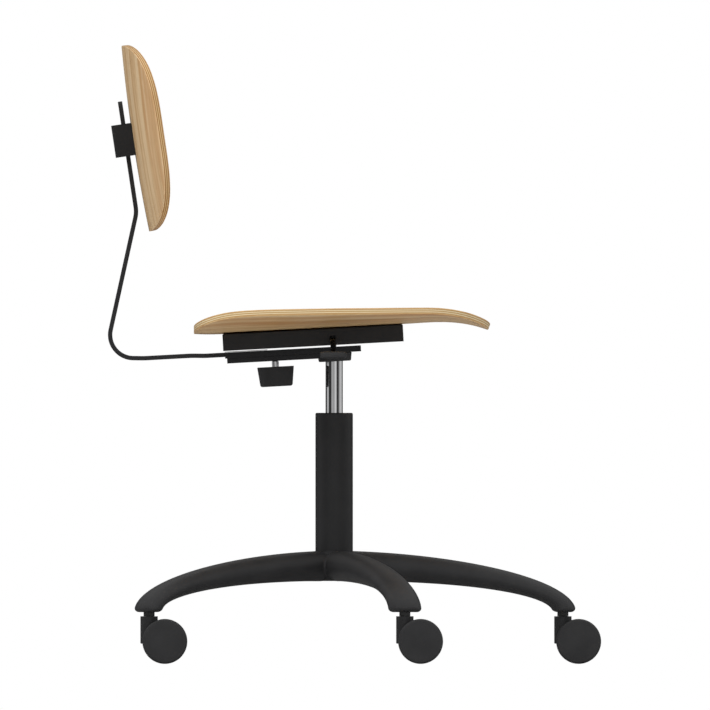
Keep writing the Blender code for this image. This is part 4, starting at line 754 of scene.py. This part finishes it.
def seatUnderside(u, y):
    # a dished sheet: side rise times (2y/width) squared, a bow of u squared over 2R in front of the column,
    # less a roll at the front edge, plus a small lift at the rear
    s = seat
    along = (u - s["ahead"]) / (s["depth"] / 2)
    endRise = np.where(along > 0, s["sideFront"], s["sideRear"])
    lost = s["rearFall"] * np.clip(along, None, 0) ** s["fallPower"]
    rise = (s["sideRise"] + (endRise - s["sideRise"]) * abs(along)) * (1 - lost)
    front = np.clip((u - s["rollStart"]) / (s["ahead"] + s["depth"] / 2 - s["rollStart"]), 0, None)
    rear = np.clip((pan["rear"] - u) / (pan["rear"] - s["ahead"] + s["depth"] / 2), 0, None)
    middle = np.clip(u, 0, None) ** 2 / (2 * s["bowRadius"]) - s["rollDrop"] * front ** s["rollPower"]
    return s["height"] + middle + rise * (2 * y / s["width"]) ** 2 + s["rearLift"] * rear ** 2


def panSkin(inset, topDrop, fold):
    # rings of one rounded rectangle: up the wall, round the fold by (1 - cos a, 1 - sin a), in to the middle
    p = pan
    centre, steps = p["rear"] + p["length"] / 2, p["sideSteps"]
    halves = np.array([p["length"] / 2, p["half"]])
    outline = np.array(rectangle((-halves[0], halves[0]), (-halves[1], halves[1]))) * (1 - inset / halves)
    outline = roundedPath(outline, max(p["corner"] - inset, p["leastCorner"]), steps=8, closed=True)
    outline = np.repeat(outline, steps, 0)
    between = np.tile(np.arange(steps) / steps, len(outline) // steps)[:, None]
    sides = outline + (np.roll(outline, -steps, 0) - outline) * between
    wallTop = seatUnderside(centre + sides[:, 0], 0.0) - topDrop
    low = 0 * wallTop + p["lift"]
    rows = [np.column_stack([sides, low + (wallTop - fold - low) * share]) for share in (0, p["wallShare"])]
    for a in np.radians(np.linspace(0, 90, p["foldSteps"])):
        shrink = 1 - fold * (1 - cos(a)) / halves
        rows.append(np.column_stack([sides * shrink, wallTop - fold * (1 - sin(a))]))
    for share in p["topShares"]:
        flat = sides * shrink * share
        rows.append(np.column_stack([flat, seatUnderside(centre + flat[:, 0], 0.0) - topDrop]))
    return np.array(rows) + np.array([centre, 0, 0])


def buildPan():
    # outer and inner skin in one closed ring; its top is flat across, so the dished sheet lies on its middle
    p = pan
    outer = panSkin(0.0, 0.0, p["fold"])
    inner = panSkin(p["sheet"], p["sheet"], p["fold"] - p["sheet"])
    sheet = ringGrid(onCarrier(np.concatenate([outer, inner[::-1]])), loopRows=True)
    piece = makePiece("seatPan", [sheet], powderCoat, "seat", "black_steel", ["seat_box"])
    slot = roundedPath(rectangle(p["slotU"], p["slotW"]), p["slotRound"], steps=6, closed=True)
    cutOut(piece, [ringGrid(onCarrier(extruded(slot, p["slotY"], "XZ")), caps=True)])


buildCarrier()
buildPan()
print("carrier built")

# plywood shells

bar = {
    "half": 0.020, "thick": 0.0059, "edge": 0.0005, "innerEnd": 0.031, "reach": 0.3061, "footBend": 0.031,
    "joggle": 0.0012, "joggleStart": 0.172, "joggleEnd": 0.190, "joggleBend": 0.15, "easeStart": 0.2535,
    "footLift": 0.0049, "lumbarBend": 0.040, "lowerLean": radians(12.4), "lowerLength": 0.1982,
    "upperLean": radians(8.5), "upperLength": 0.1496, "alongToBack": 0.0976, "topCorner": 0.008,
    "forkHalf": 0.007, "forkLength": 0.064, "forkLap": 0.001, "softEdge": 0.0004, "topSteps": 10,
}


def barCentre(behind, lift=0.0):
    # the bar's lower centre line: straight back from the column in the carrier's tilt, lifted at its joggle
    height = (lift - bar["thick"] / 2) / cos(carrier["lean"])
    return np.array([-behind, carrier["z"] + height - behind * tan(carrier["lean"])])


barFoot = barCentre(bar["reach"], bar["footLift"])
barLumbar = barFoot + bar["lowerLength"] * np.array([sin(bar["lowerLean"]), cos(bar["lowerLean"])])
barUp = np.array([-sin(bar["upperLean"]), cos(bar["upperLean"])])
back = {
    "at": barLumbar + bar["alongToBack"] * barUp + np.array([columnX, 0]), "lean": bar["upperLean"],
    "height": 0.2506, "width": 0.370, "power": 3.2, "ply": 0.009, "edgeRound": 0.0012, "fromBar": 0.0095,
    "wing": 0.0344, "spine": 2.25,
}
plySteps = {
    "round": 288, "edge": 7,
    "rings": [0, 0.08, 0.18, 0.28, 0.38, 0.48, 0.57, 0.65, 0.72, 0.78, 0.83, 0.87, 0.905, 0.93, 0.95, 0.965],
}


def onBack(points):
    # from the backrest's own frame (ahead of the bar's centre, y, up along the bar) into the scene
    return tilted(points, back["at"], back["lean"])


def backRear(y, v):
    # rear face in front of the bar: wings forward by (2y/width) squared, spine bowed by v squared over 2R
    return back["fromBar"] + back["wing"] * (2 * y / back["width"]) ** 2 + v ** 2 / (2 * back["spine"])


def plyShell(sheet, halfLong, halfWide, power, thickness, edgeRound):
    # polar rings of a superellipse outline: along one face to the rim, round the edge, back along the other;
    # each point is the sheet's point plus its depth times the sheet's normal
    t = np.linspace(0, tau, plySteps["round"], endpoint=False)[None]
    reach = (abs(np.cos(t) / halfLong) ** power + abs(np.sin(t) / halfWide) ** power) ** (-1 / power)
    rings = np.array(plySteps["rings"])
    turn = np.radians(np.linspace(0, 90, plySteps["edge"]))
    cut = edgeRound * (1 - np.sin(turn))
    rise = edgeRound * (1 - np.cos(turn))
    share = np.concatenate([rings, 0 * turn + 1, 0 * turn + 1, rings[::-1]])[:, None]
    inset = np.concatenate([0 * rings + edgeRound, cut, cut[::-1], 0 * rings + edgeRound])[:, None]
    depth = np.concatenate([0 * rings, rise, thickness - rise[::-1], 0 * rings + thickness])[:, None]
    radius = (reach - inset) * share
    a, b = radius * np.cos(t), radius * np.sin(t)
    step = 1e-5
    here = sheet(a, b)
    alongA, alongB = sheet(a + step, b) - here, sheet(a, b + step) - here
    normal = np.cross(alongA, alongB)
    normal /= np.linalg.norm(normal, axis=-1, keepdims=True)
    return here + normal * depth[..., None], np.broadcast_to(depth / thickness, a.shape)


def buildShells():
    # each sheet is a function of two lengths: the seat's underside, and the back's rear face
    s, b = seat, back
    seatSheet = lambda a, y: np.stack([s["ahead"] + a, y, seatUnderside(s["ahead"] + a, y)], -1)
    points, depth = plyShell(seatSheet, s["depth"] / 2, s["width"] / 2, s["power"], s["ply"], s["edgeRound"])
    makePiece("seatShell", [ringGrid(onCarrier(points))], oakSeat, "seat", "plywood", ["seat_shell"],
              plyDepth=depth)
    backSheet = lambda y, v: np.stack([backRear(y, v), y, v], -1)
    points, depth = plyShell(backSheet, b["width"] / 2, b["height"] / 2, b["power"], b["ply"], b["edgeRound"])
    makePiece("backShell", [ringGrid(onBack(points))], oakBack, "backrest", "plywood", ["back_shell"],
              plyDepth=depth)


buildShells()
print("shells built")

# back bar and block

block = {
    "height": 0.0434, "half": 0.035, "rear": -0.0165, "corner": 0.004, "frontSteps": 15, "softEdge": 0.0007,
    "slotRound": 0.0008, "slotReach": 0.03, "padHalf": 0.0123, "padHigh": 0.0163, "padRear": -0.0117,
    "boreY": 0.0275, "boreRadius": 0.0046, "boreOver": 0.002, "boreDepth": 0.0035,
}


def buildBar():
    # a rounded strip section carried along the bar's side view, its top end drawn in over a quarter circle
    b, faces = bar, (-bar["thick"] / 2, bar["thick"] / 2)
    topEnd = barLumbar + b["upperLength"] * barUp
    forkEnd = b["forkLength"] - b["innerEnd"]
    corners = [barCentre(forkEnd), barCentre(b["joggleStart"]), barCentre(b["joggleEnd"], b["joggle"])]
    corners += [barCentre(b["easeStart"], b["joggle"]), barFoot, barLumbar, topEnd]
    path = roundedPath(corners, [b["joggleBend"]] * 3 + [b["footBend"], b["lumbarBend"]], steps=28)
    curl = b["topCorner"] * (1 - np.cos(np.radians(np.linspace(90, 0, b["topSteps"]))))
    path = np.concatenate([path[:-1], topEnd - barUp * curl[:, None]])
    fromEnd = np.clip(np.linalg.norm(topEnd - path, axis=1), 0, b["topCorner"])
    half = b["half"] - b["topCorner"] + np.sqrt(b["topCorner"] ** 2 - (b["topCorner"] - fromEnd) ** 2)
    strip = roundedPath(rectangle((-b["half"], b["half"]), faces), b["edge"], steps=5, closed=True)
    sections = strip[None] * np.stack([half / b["half"], np.ones(len(half))], -1)[:, None]
    shift = np.array([columnX, 0, 0])
    grids = [ringGrid(carried(path, sections) + shift, caps=True)]
    run = [barCentre(-b["innerEnd"]), barCentre(forkEnd + b["forkLap"])]
    for sides in ((-b["half"], -b["forkHalf"]), (b["forkHalf"], b["half"])):
        prong = roundedPath(rectangle(sides, faces), b["edge"], steps=5, closed=True)
        grids.append(ringGrid(carried(run, prong) + shift, caps=True))
    piece = makePiece("backBar", grids, powderCoat, "back_support", "black_steel", ["back_bar"])
    softEdges(piece, b["softEdge"])


def buildBlock():
    # its plan, rounded at the rear and shaped to the shell in front, repeated up its height, less the bores
    k, half, side = block, bar["thick"] / 2 + gap, bar["half"] + gap
    y = np.linspace(k["half"], -k["half"], k["frontSteps"])
    rear = [(0, -k["half"]), (k["rear"], -k["half"]), (k["rear"], k["half"]), (0, k["half"])]
    outline = [roundedPath(rear, k["corner"], steps=8)[1:-1], np.stack([backRear(y, 0 * y) - gap, y], -1)]
    body = onBack(extruded(np.concatenate(outline), (-k["height"] / 2, k["height"] / 2)))
    piece = makePiece("backBlock", [ringGrid(body, caps=True)], etchedAbs, "backrest", "black_plastic",
                      ["back_block"])
    slot = roundedPath(rectangle((-half, half), (-side, side)), k["slotRound"], steps=4, closed=True)
    pocket = rectangle((k["padRear"], 0), (-k["padHalf"], k["padHalf"]))
    cuts = [extruded(slot, (-k["slotReach"], k["slotReach"]))]
    cuts += [extruded(pocket, (-k["padHigh"], k["padHigh"]))]
    bore = [(k["boreRadius"], k["rear"] - k["boreOver"]), (k["boreRadius"], k["rear"] + k["boreDepth"])]
    ring = turned(bore, segments=40)
    for across in (-k["boreY"], k["boreY"]):
        cuts.append(np.stack([ring[..., 2], across + ring[..., 0], ring[..., 1]], -1))
    cutOut(piece, [ringGrid(onBack(cut), caps=True) for cut in cuts])
    softEdges(piece, k["softEdge"])


buildBar()
buildBlock()
print("back built")

# lever, knob and screws

lever = {
    "u": -0.0014, "w": 0.0079, "crank": 0.0066, "innerY": 0.003, "crankOut": -0.0465, "crankIn": -0.0345,
    "downY": -0.118, "drop": 0.0190, "bend": 0.0085, "radius": 0.0033, "softEdge": 0.0004,
    "paddleY": -0.128, "length": 0.068, "half": 0.0178, "neck": 0.013, "thick": 0.0094, "inPaddle": 0.024,
    "firstRows": [0, 0.0001, 0.0008, 0.002], "bodyStart": 0.004, "neckLength": 0.002, "neckPower": 2.5,
    "endLength": 0.008, "endPower": 3.2, "sectionPower": 5.5, "swellShare": 0.45, "widthLost": 0.45,
    "heightLost": 0.9, "steps": 28, "bodySteps": 24, "endSteps": 14, "endFrom": 8,
}
knob = {
    "u": steel["knobU"], "top": -0.0224, "height": 0.0264, "radius": 0.0245, "foot": 0.0214, "dish": 0.0007,
    "rimShare": 0.80, "dishShare": 0.77, "rounds": [0.0002, 0.0005, 0.0008, 0.003, 0.0005, 0.0005],
    "socket": 0.0049, "shank": 0.0046, "screw": 0.004, "tip": -0.0087, "shankTop": -0.0151,
    "inKnob": 0.016, "shankRound": 0.0004, "shankShare": 0.9, "tipShare": 0.8,
    "pitch": 0.00125, "threadDepth": 0.0006, "lead": 0.0006, "runOut": 0.001, "steps": 40, "threadSteps": 44,
}


def buildLever():
    # the rod: a circle carried along its cranked front view, from (y, w) into the carrier's frame
    v = lever
    low, high = v["w"] - v["drop"], v["w"] + v["crank"]
    corners = [(v["innerY"], high), (v["crankIn"], high), (v["crankOut"], v["w"]), (v["downY"], v["w"])]
    corners += [(v["downY"], low), (v["paddleY"] - v["inPaddle"], low)]
    t = np.linspace(0, tau, v["steps"], endpoint=False)
    circle = v["radius"] * np.stack([np.cos(t), np.sin(t)], -1)
    rod = carried(roundedPath(corners, v["bend"], steps=14), circle)
    rod = ringGrid(onCarrier(np.stack([rod[..., 1] + v["u"], rod[..., 0], rod[..., 2]], -1)), caps=True)
    piece = makePiece("leverRod", [rod], wirePaintedShade, "lever", "black_steel", ["lever_rod"])
    softEdges(piece, v["softEdge"])
    # the paddle: superellipse sections whose width swells from the neck and closes at a blunt end
    endStart = v["length"] - v["endLength"]
    closing = np.radians(np.linspace(v["endFrom"], 90, v["endSteps"]))
    body = np.linspace(v["bodyStart"], endStart, v["bodySteps"])
    s = np.concatenate([v["firstRows"], body, endStart + v["endLength"] * np.sin(closing)])[:, None]
    swell = v["neck"] + (v["half"] - v["neck"]) * smoothStep(s / (v["length"] * v["swellShare"]))
    atEnd, atNeck = (s - endStart) / v["endLength"], (v["neckLength"] - s) / v["neckLength"]
    blunt = lambda x, power: np.clip(1 - np.clip(x, 0, None) ** power, 0, 1) ** (1 / power)
    soft = blunt(atEnd, v["endPower"]) * blunt(atNeck, v["neckPower"])
    wide = np.sign(np.cos(t)) * abs(np.cos(t)) ** (2 / v["sectionPower"])
    high = np.sign(np.sin(t)) * abs(np.sin(t)) ** (2 / v["sectionPower"])
    a = (swell - v["half"] * (1 - soft) * v["widthLost"]) * wide * (soft > 0)
    h = v["thick"] / 2 * (1 - (1 - soft) * v["heightLost"]) * high * (soft > 0)
    x = a * cos(carrier["lean"]) + h * sin(carrier["lean"])  # level across, whatever the carrier's tilt
    z = h * cos(carrier["lean"]) - a * sin(carrier["lean"])
    grip = np.stack(np.broadcast_arrays(v["u"] + x, v["paddleY"] - s, low + z), -1)
    makePiece("leverPaddle", [ringGrid(onCarrier(grip))], gripPlastic, "lever", "grey_plastic",
              ["lever_paddle"], sharp=50)


def buildKnob():
    # grip and shank are turned about the screw's axis
    k = knob
    toKnob = np.array([k["u"], 0, 0])
    bottom, shankEnd = k["top"] - k["height"], k["top"] - k["inKnob"]
    floor, dish = shankEnd - gap, bottom + k["dish"]
    grip = [(0, floor), (k["socket"], floor), (k["socket"], k["top"]), (k["radius"], k["top"])]
    grip += [(k["foot"], bottom), (k["foot"] * k["rimShare"], bottom)]
    grip += [(k["foot"] * k["dishShare"], dish), (0, dish)]
    grip = turned(roundedPath(grip, k["rounds"], steps=8), segments=96)
    makePiece("clampKnob", [ringGrid(onCarrier(grip + toKnob))], phenolic, "knob", "black_plastic",
              ["clamp_knob"])
    # the thread: radius less a triangle wave of the helix phase z / pitch - t / turn
    t = np.linspace(0, tau, k["steps"], endpoint=False)[None]
    z = np.linspace(k["tip"] - k["lead"], k["shankTop"], k["threadSteps"])[:, None]
    phase = (z / k["pitch"] - t / tau) % 1
    fade = np.clip((k["tip"] - z) / k["runOut"], 0, 1)
    r = k["screw"] - k["threadDepth"] * (abs(2 * phase - 1) * fade + 1 - fade)
    thread = np.stack(np.broadcast_arrays(r * np.cos(t), r * np.sin(t), z), -1)
    shank = [(k["screw"] * k["shankShare"], k["shankTop"]), (k["shank"], k["shankTop"])]
    shank = roundedPath(shank + [(k["shank"], shankEnd), (0, shankEnd)], k["shankRound"], steps=4)
    shank = turned(shank, k["steps"])
    end = turned([(0, k["tip"]), (k["screw"] * k["tipShare"], k["tip"])], k["steps"])
    screw = ringGrid(onCarrier(np.concatenate([end, thread, shank]) + toKnob))
    makePiece("clampScrew", [screw], hardChrome, "knob", "chrome", ["clamp_screw"], sharp=45)


# a button head's shape, as shares of its radius and height
button = {
    "flat": 0.45, "crown": 0.6, "rim": 0.35, "taper": 0.97, "deep": 0.5, "point": 0.55,
    "domeEnd": 80, "domeSteps": 8, "steps": 48,
}
screws = {
    "seatU": (-0.125, 0.074), "seatY": 0.042, "seatRadius": 0.0055, "seatHeight": 0.0030,
    "backRadius": 0.0042, "backHeight": 0.0026, "backSunk": 0.0034,
}


def screwHead(name, centre, axisOut, radius, height, body):
    # a dome of revolution with a six-sided socket, whose radius is flat / cos of the face angle
    s = button
    t = np.linspace(0, tau, s["steps"], endpoint=False)[None]
    hexagon = radius * s["flat"] / np.cos((t + pi / 6) % (pi / 3) - pi / 6)
    a = np.radians(np.linspace(0, s["domeEnd"], s["domeSteps"]))[:, None]
    dome = radius * (s["crown"] + (1 - s["crown"]) * np.cos(a)) + 0 * t
    rise = height * (s["rim"] + (1 - s["rim"]) * np.sin(a)) + 0 * t
    top = rise[-1:]
    r = np.concatenate([0 * t, radius + 0 * t, dome, hexagon, hexagon * s["taper"], 0 * t])
    h = np.concatenate([0 * t, 0 * t, rise, top, top - height * s["deep"], top - height * s["point"]])
    axisOut = np.array(axisOut) / np.linalg.norm(axisOut)
    sideways = np.array([0.0, 1.0, 0.0])
    other = np.cross(axisOut, sideways)
    spin = r[..., None] * (np.cos(t)[..., None] * sideways + np.sin(t)[..., None] * other)
    points = np.array(centre) + spin + h[..., None] * axisOut
    makePiece(name, [ringGrid(points)], blackOxide, body, "black_steel", sharp=40)


def buildScrews():
    # four through the pan into the seat, two through the block into the back
    s = screws
    down = np.array([sin(carrier["lean"]), 0, -cos(carrier["lean"])])
    places = [(u, sign * s["seatY"]) for u in s["seatU"] for sign in (-1, 1)]
    for number, (u, y) in enumerate(places, 1):
        under = float(seatUnderside(np.array(u), 0.0) - pan["sheet"])
        seatOfHead = onCarrier([u, y, under])
        screwHead(f"seatScrew{number}", seatOfHead, down, s["seatRadius"], s["seatHeight"], "seat")
    rearward = np.array([-cos(back["lean"]), 0, -sin(back["lean"])])
    for number, sign in enumerate((-1, 1), 1):
        seatOfHead = onBack([block["rear"] + s["backSunk"], sign * block["boreY"], 0.0])
        screwHead(f"backScrew{number}", seatOfHead, rearward, s["backRadius"], s["backHeight"], "backrest")


buildLever()
buildKnob()
buildScrews()
print("fittings built")

# the nodes that stay as they are, each with its own finish

keptFinishes = {
    powderCoat: ["bar_keeper", "mount_bridge", "lever_bracket"],
    acetalBush: ["guide_bush"],
    zincSteel: ["bearing_race_lower", "bearing_race_upper", "rod_clip", "clamp_nut", "clamp_pad", "lever_pin",
                "release_button", "leaf_spring"] + [f"caster_axle_{number}" for number in range(1, arms + 1)],
    rolledBrass: ["bearing_cage"],
    hardChrome: ["piston_rod"],
    nitrileRubber: ["lift_buffer", "friction_pad"],
}
for finish, names in keptFinishes.items():
    for name in names:
        node = frame["nodes"][name]
        node.data.materials.clear()
        node.data.materials.append(finish)

# studio

studio = {
    "floorHalf": 6.0, "floorTone": "#e4e4e4", "floorMirrored": "#8a8a8a",
    "matt": {"Roughness": 0.9, "Specular IOR Level": 0.1},
    # brightness of the surroundings from below to above, for matt light and for reflections
    "ambient": {"To Min": 0.42, "To Max": 0.95},
    "gloss": {"From Min": 0.3, "From Max": 0.8, "To Min": 0.05, "To Max": 0.85},
    "key": {"at": (-1.7, -2.3, 2.6), "size": 1.8, "power": 60},
    "fill": {"at": (4.6, -2.5, 1.0), "size": 1.6, "power": 29},
    "top": {"at": (0.1, 0.4, 3.2), "size": 1.6, "power": 22},
    "centre": (0.0, 0.0, 0.42),
    # lit panels round the set: first bearing from the camera in degrees, last, brightness
    "panels": [(-113, -77, 0.66), (-37, -18, 0.58), (-18, 7, 0.50), (7, 22, 1.0), (22, 35, 0.62),
               (65, 95, 0.60), (95, 119, 1.0)],
    "panelRadius": 3.0, "panelTop": 2.2,
}
photo = {"scale": 0.94667, "aheadOfColumn": 0.0278, "height": 0.4119, "distance": 4.0}


def stagePlane(name, corners, material):
    # one flat face that belongs to the set, not to the chair
    mesh = bpy.data.meshes.new(name)
    mesh.from_pydata(corners, [], [(0, 1, 2, 3)])
    mesh.materials.append(material)
    plane = bpy.data.objects.new(name, mesh)
    scene.collection.objects.link(plane)
    plane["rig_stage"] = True
    return plane


def buildSet():
    # a floor, and lit panels that stand round the set on a circle
    s = studio
    # painted studio floor: matt and nearly white, held back in reflections so that black parts stay black
    floorPaint, tree, shader = newFinish("floor_paint", s["matt"])
    tones = {6: linear(s["floorTone"]), 7: linear(s["floorMirrored"])}
    mirrored = addNode(tree, "LightPath")["Is Glossy Ray"]
    tone = addNode(tree, "Mix", {0: mirrored} | tones, data_type="RGBA")[2]
    tree.links.new(tone, shader.inputs["Base Color"])
    h = s["floorHalf"]
    stagePlane("floor", [(-h, -h, 0), (h, -h, 0), (h, h, 0), (-h, h, 0)], floorPaint)
    # silk lit from behind: an even glow without a gloss of its own, seen only in reflections
    glow = {"Base Color": (0, 0, 0, 1), "Emission Color": (1, 1, 1, 1), "Specular IOR Level": 0.0}
    for number, (first, last, bright) in enumerate(s["panels"]):
        silk = newFinish(f"lit_silk_{number}", glow | {"Emission Strength": bright})[0]
        bearing = np.radians([first, last, last, first])
        x, y = s["panelRadius"] * np.sin(bearing), -s["panelRadius"] * np.cos(bearing)
        corners = np.column_stack([x, y, [0, 0, s["panelTop"], s["panelTop"]]])
        panel = stagePlane(f"panel{number}", corners.tolist(), silk)
        for ray in ("camera", "diffuse", "shadow", "transmission"):
            setattr(panel, "visible_" + ray, False)


def buildLight():
    # three square lamps face the chair; the world is white to the camera, and to the chair brightens upwards
    s = studio
    for name in ("key", "fill", "top"):
        lamp = bpy.data.lights.new(name, "AREA")
        lamp.shape = "SQUARE"
        lamp.size = s[name]["size"]
        lamp.energy = s[name]["power"]
        holder = bpy.data.objects.new(name, lamp)
        scene.collection.objects.link(holder)
        x, y, z = np.array(s["centre"]) - np.array(s[name]["at"])
        holder.location = s[name]["at"]
        holder.rotation_euler = (np.arctan2(np.hypot(x, y), -z), 0, np.arctan2(x, -y) + pi)
        holder.visible_camera = holder.visible_glossy = False
    world = bpy.data.worlds.new("studio")
    scene.world = world
    world.use_nodes = True
    tree = world.node_tree
    tree.nodes.clear()
    rays = addNode(tree, "LightPath")
    upward = addNode(tree, "SeparateXYZ", {"Vector": addNode(tree, "TexCoord")["Generated"]})["Z"]
    soft = addNode(tree, "MapRange", {"Value": upward} | s["ambient"])["Result"]
    gloss = addNode(tree, "MapRange", {"Value": upward} | s["gloss"])["Result"]
    level = addNode(tree, "Mix", {0: rays["Is Glossy Ray"], 2: soft, 3: gloss})[0]
    through = {0: rays["Is Camera Ray"], 1: rays["Is Transmission Ray"]}
    seen = addNode(tree, "Math", through, operation="MAXIMUM")[0]
    level = addNode(tree, "Mix", {0: seen, 2: level, 3: 1.0})[0]
    sky = addNode(tree, "Background", {"Color": (1, 1, 1, 1), "Strength": level})[0]
    addNode(tree, "OutputWorld", {"Surface": sky})


def buildCamera():
    # square to the chair's right side, without perspective, as the photograph is
    lens = bpy.data.cameras.new("camera")
    lens.type = "ORTHO"
    lens.ortho_scale = photo["scale"]
    camera = bpy.data.objects.new("camera", lens)
    scene.collection.objects.link(camera)
    camera.location = (columnX + photo["aheadOfColumn"], -photo["distance"], photo["height"])
    camera.rotation_euler = (pi / 2, 0, 0)
    scene.camera = camera
    scene.view_settings.view_transform = "Standard"


buildSet()
buildLight()
buildCamera()
print("studio set")

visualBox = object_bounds()
{"cad": [list(corner) for corner in cadBox], "visual": [list(corner) for corner in visualBox]}
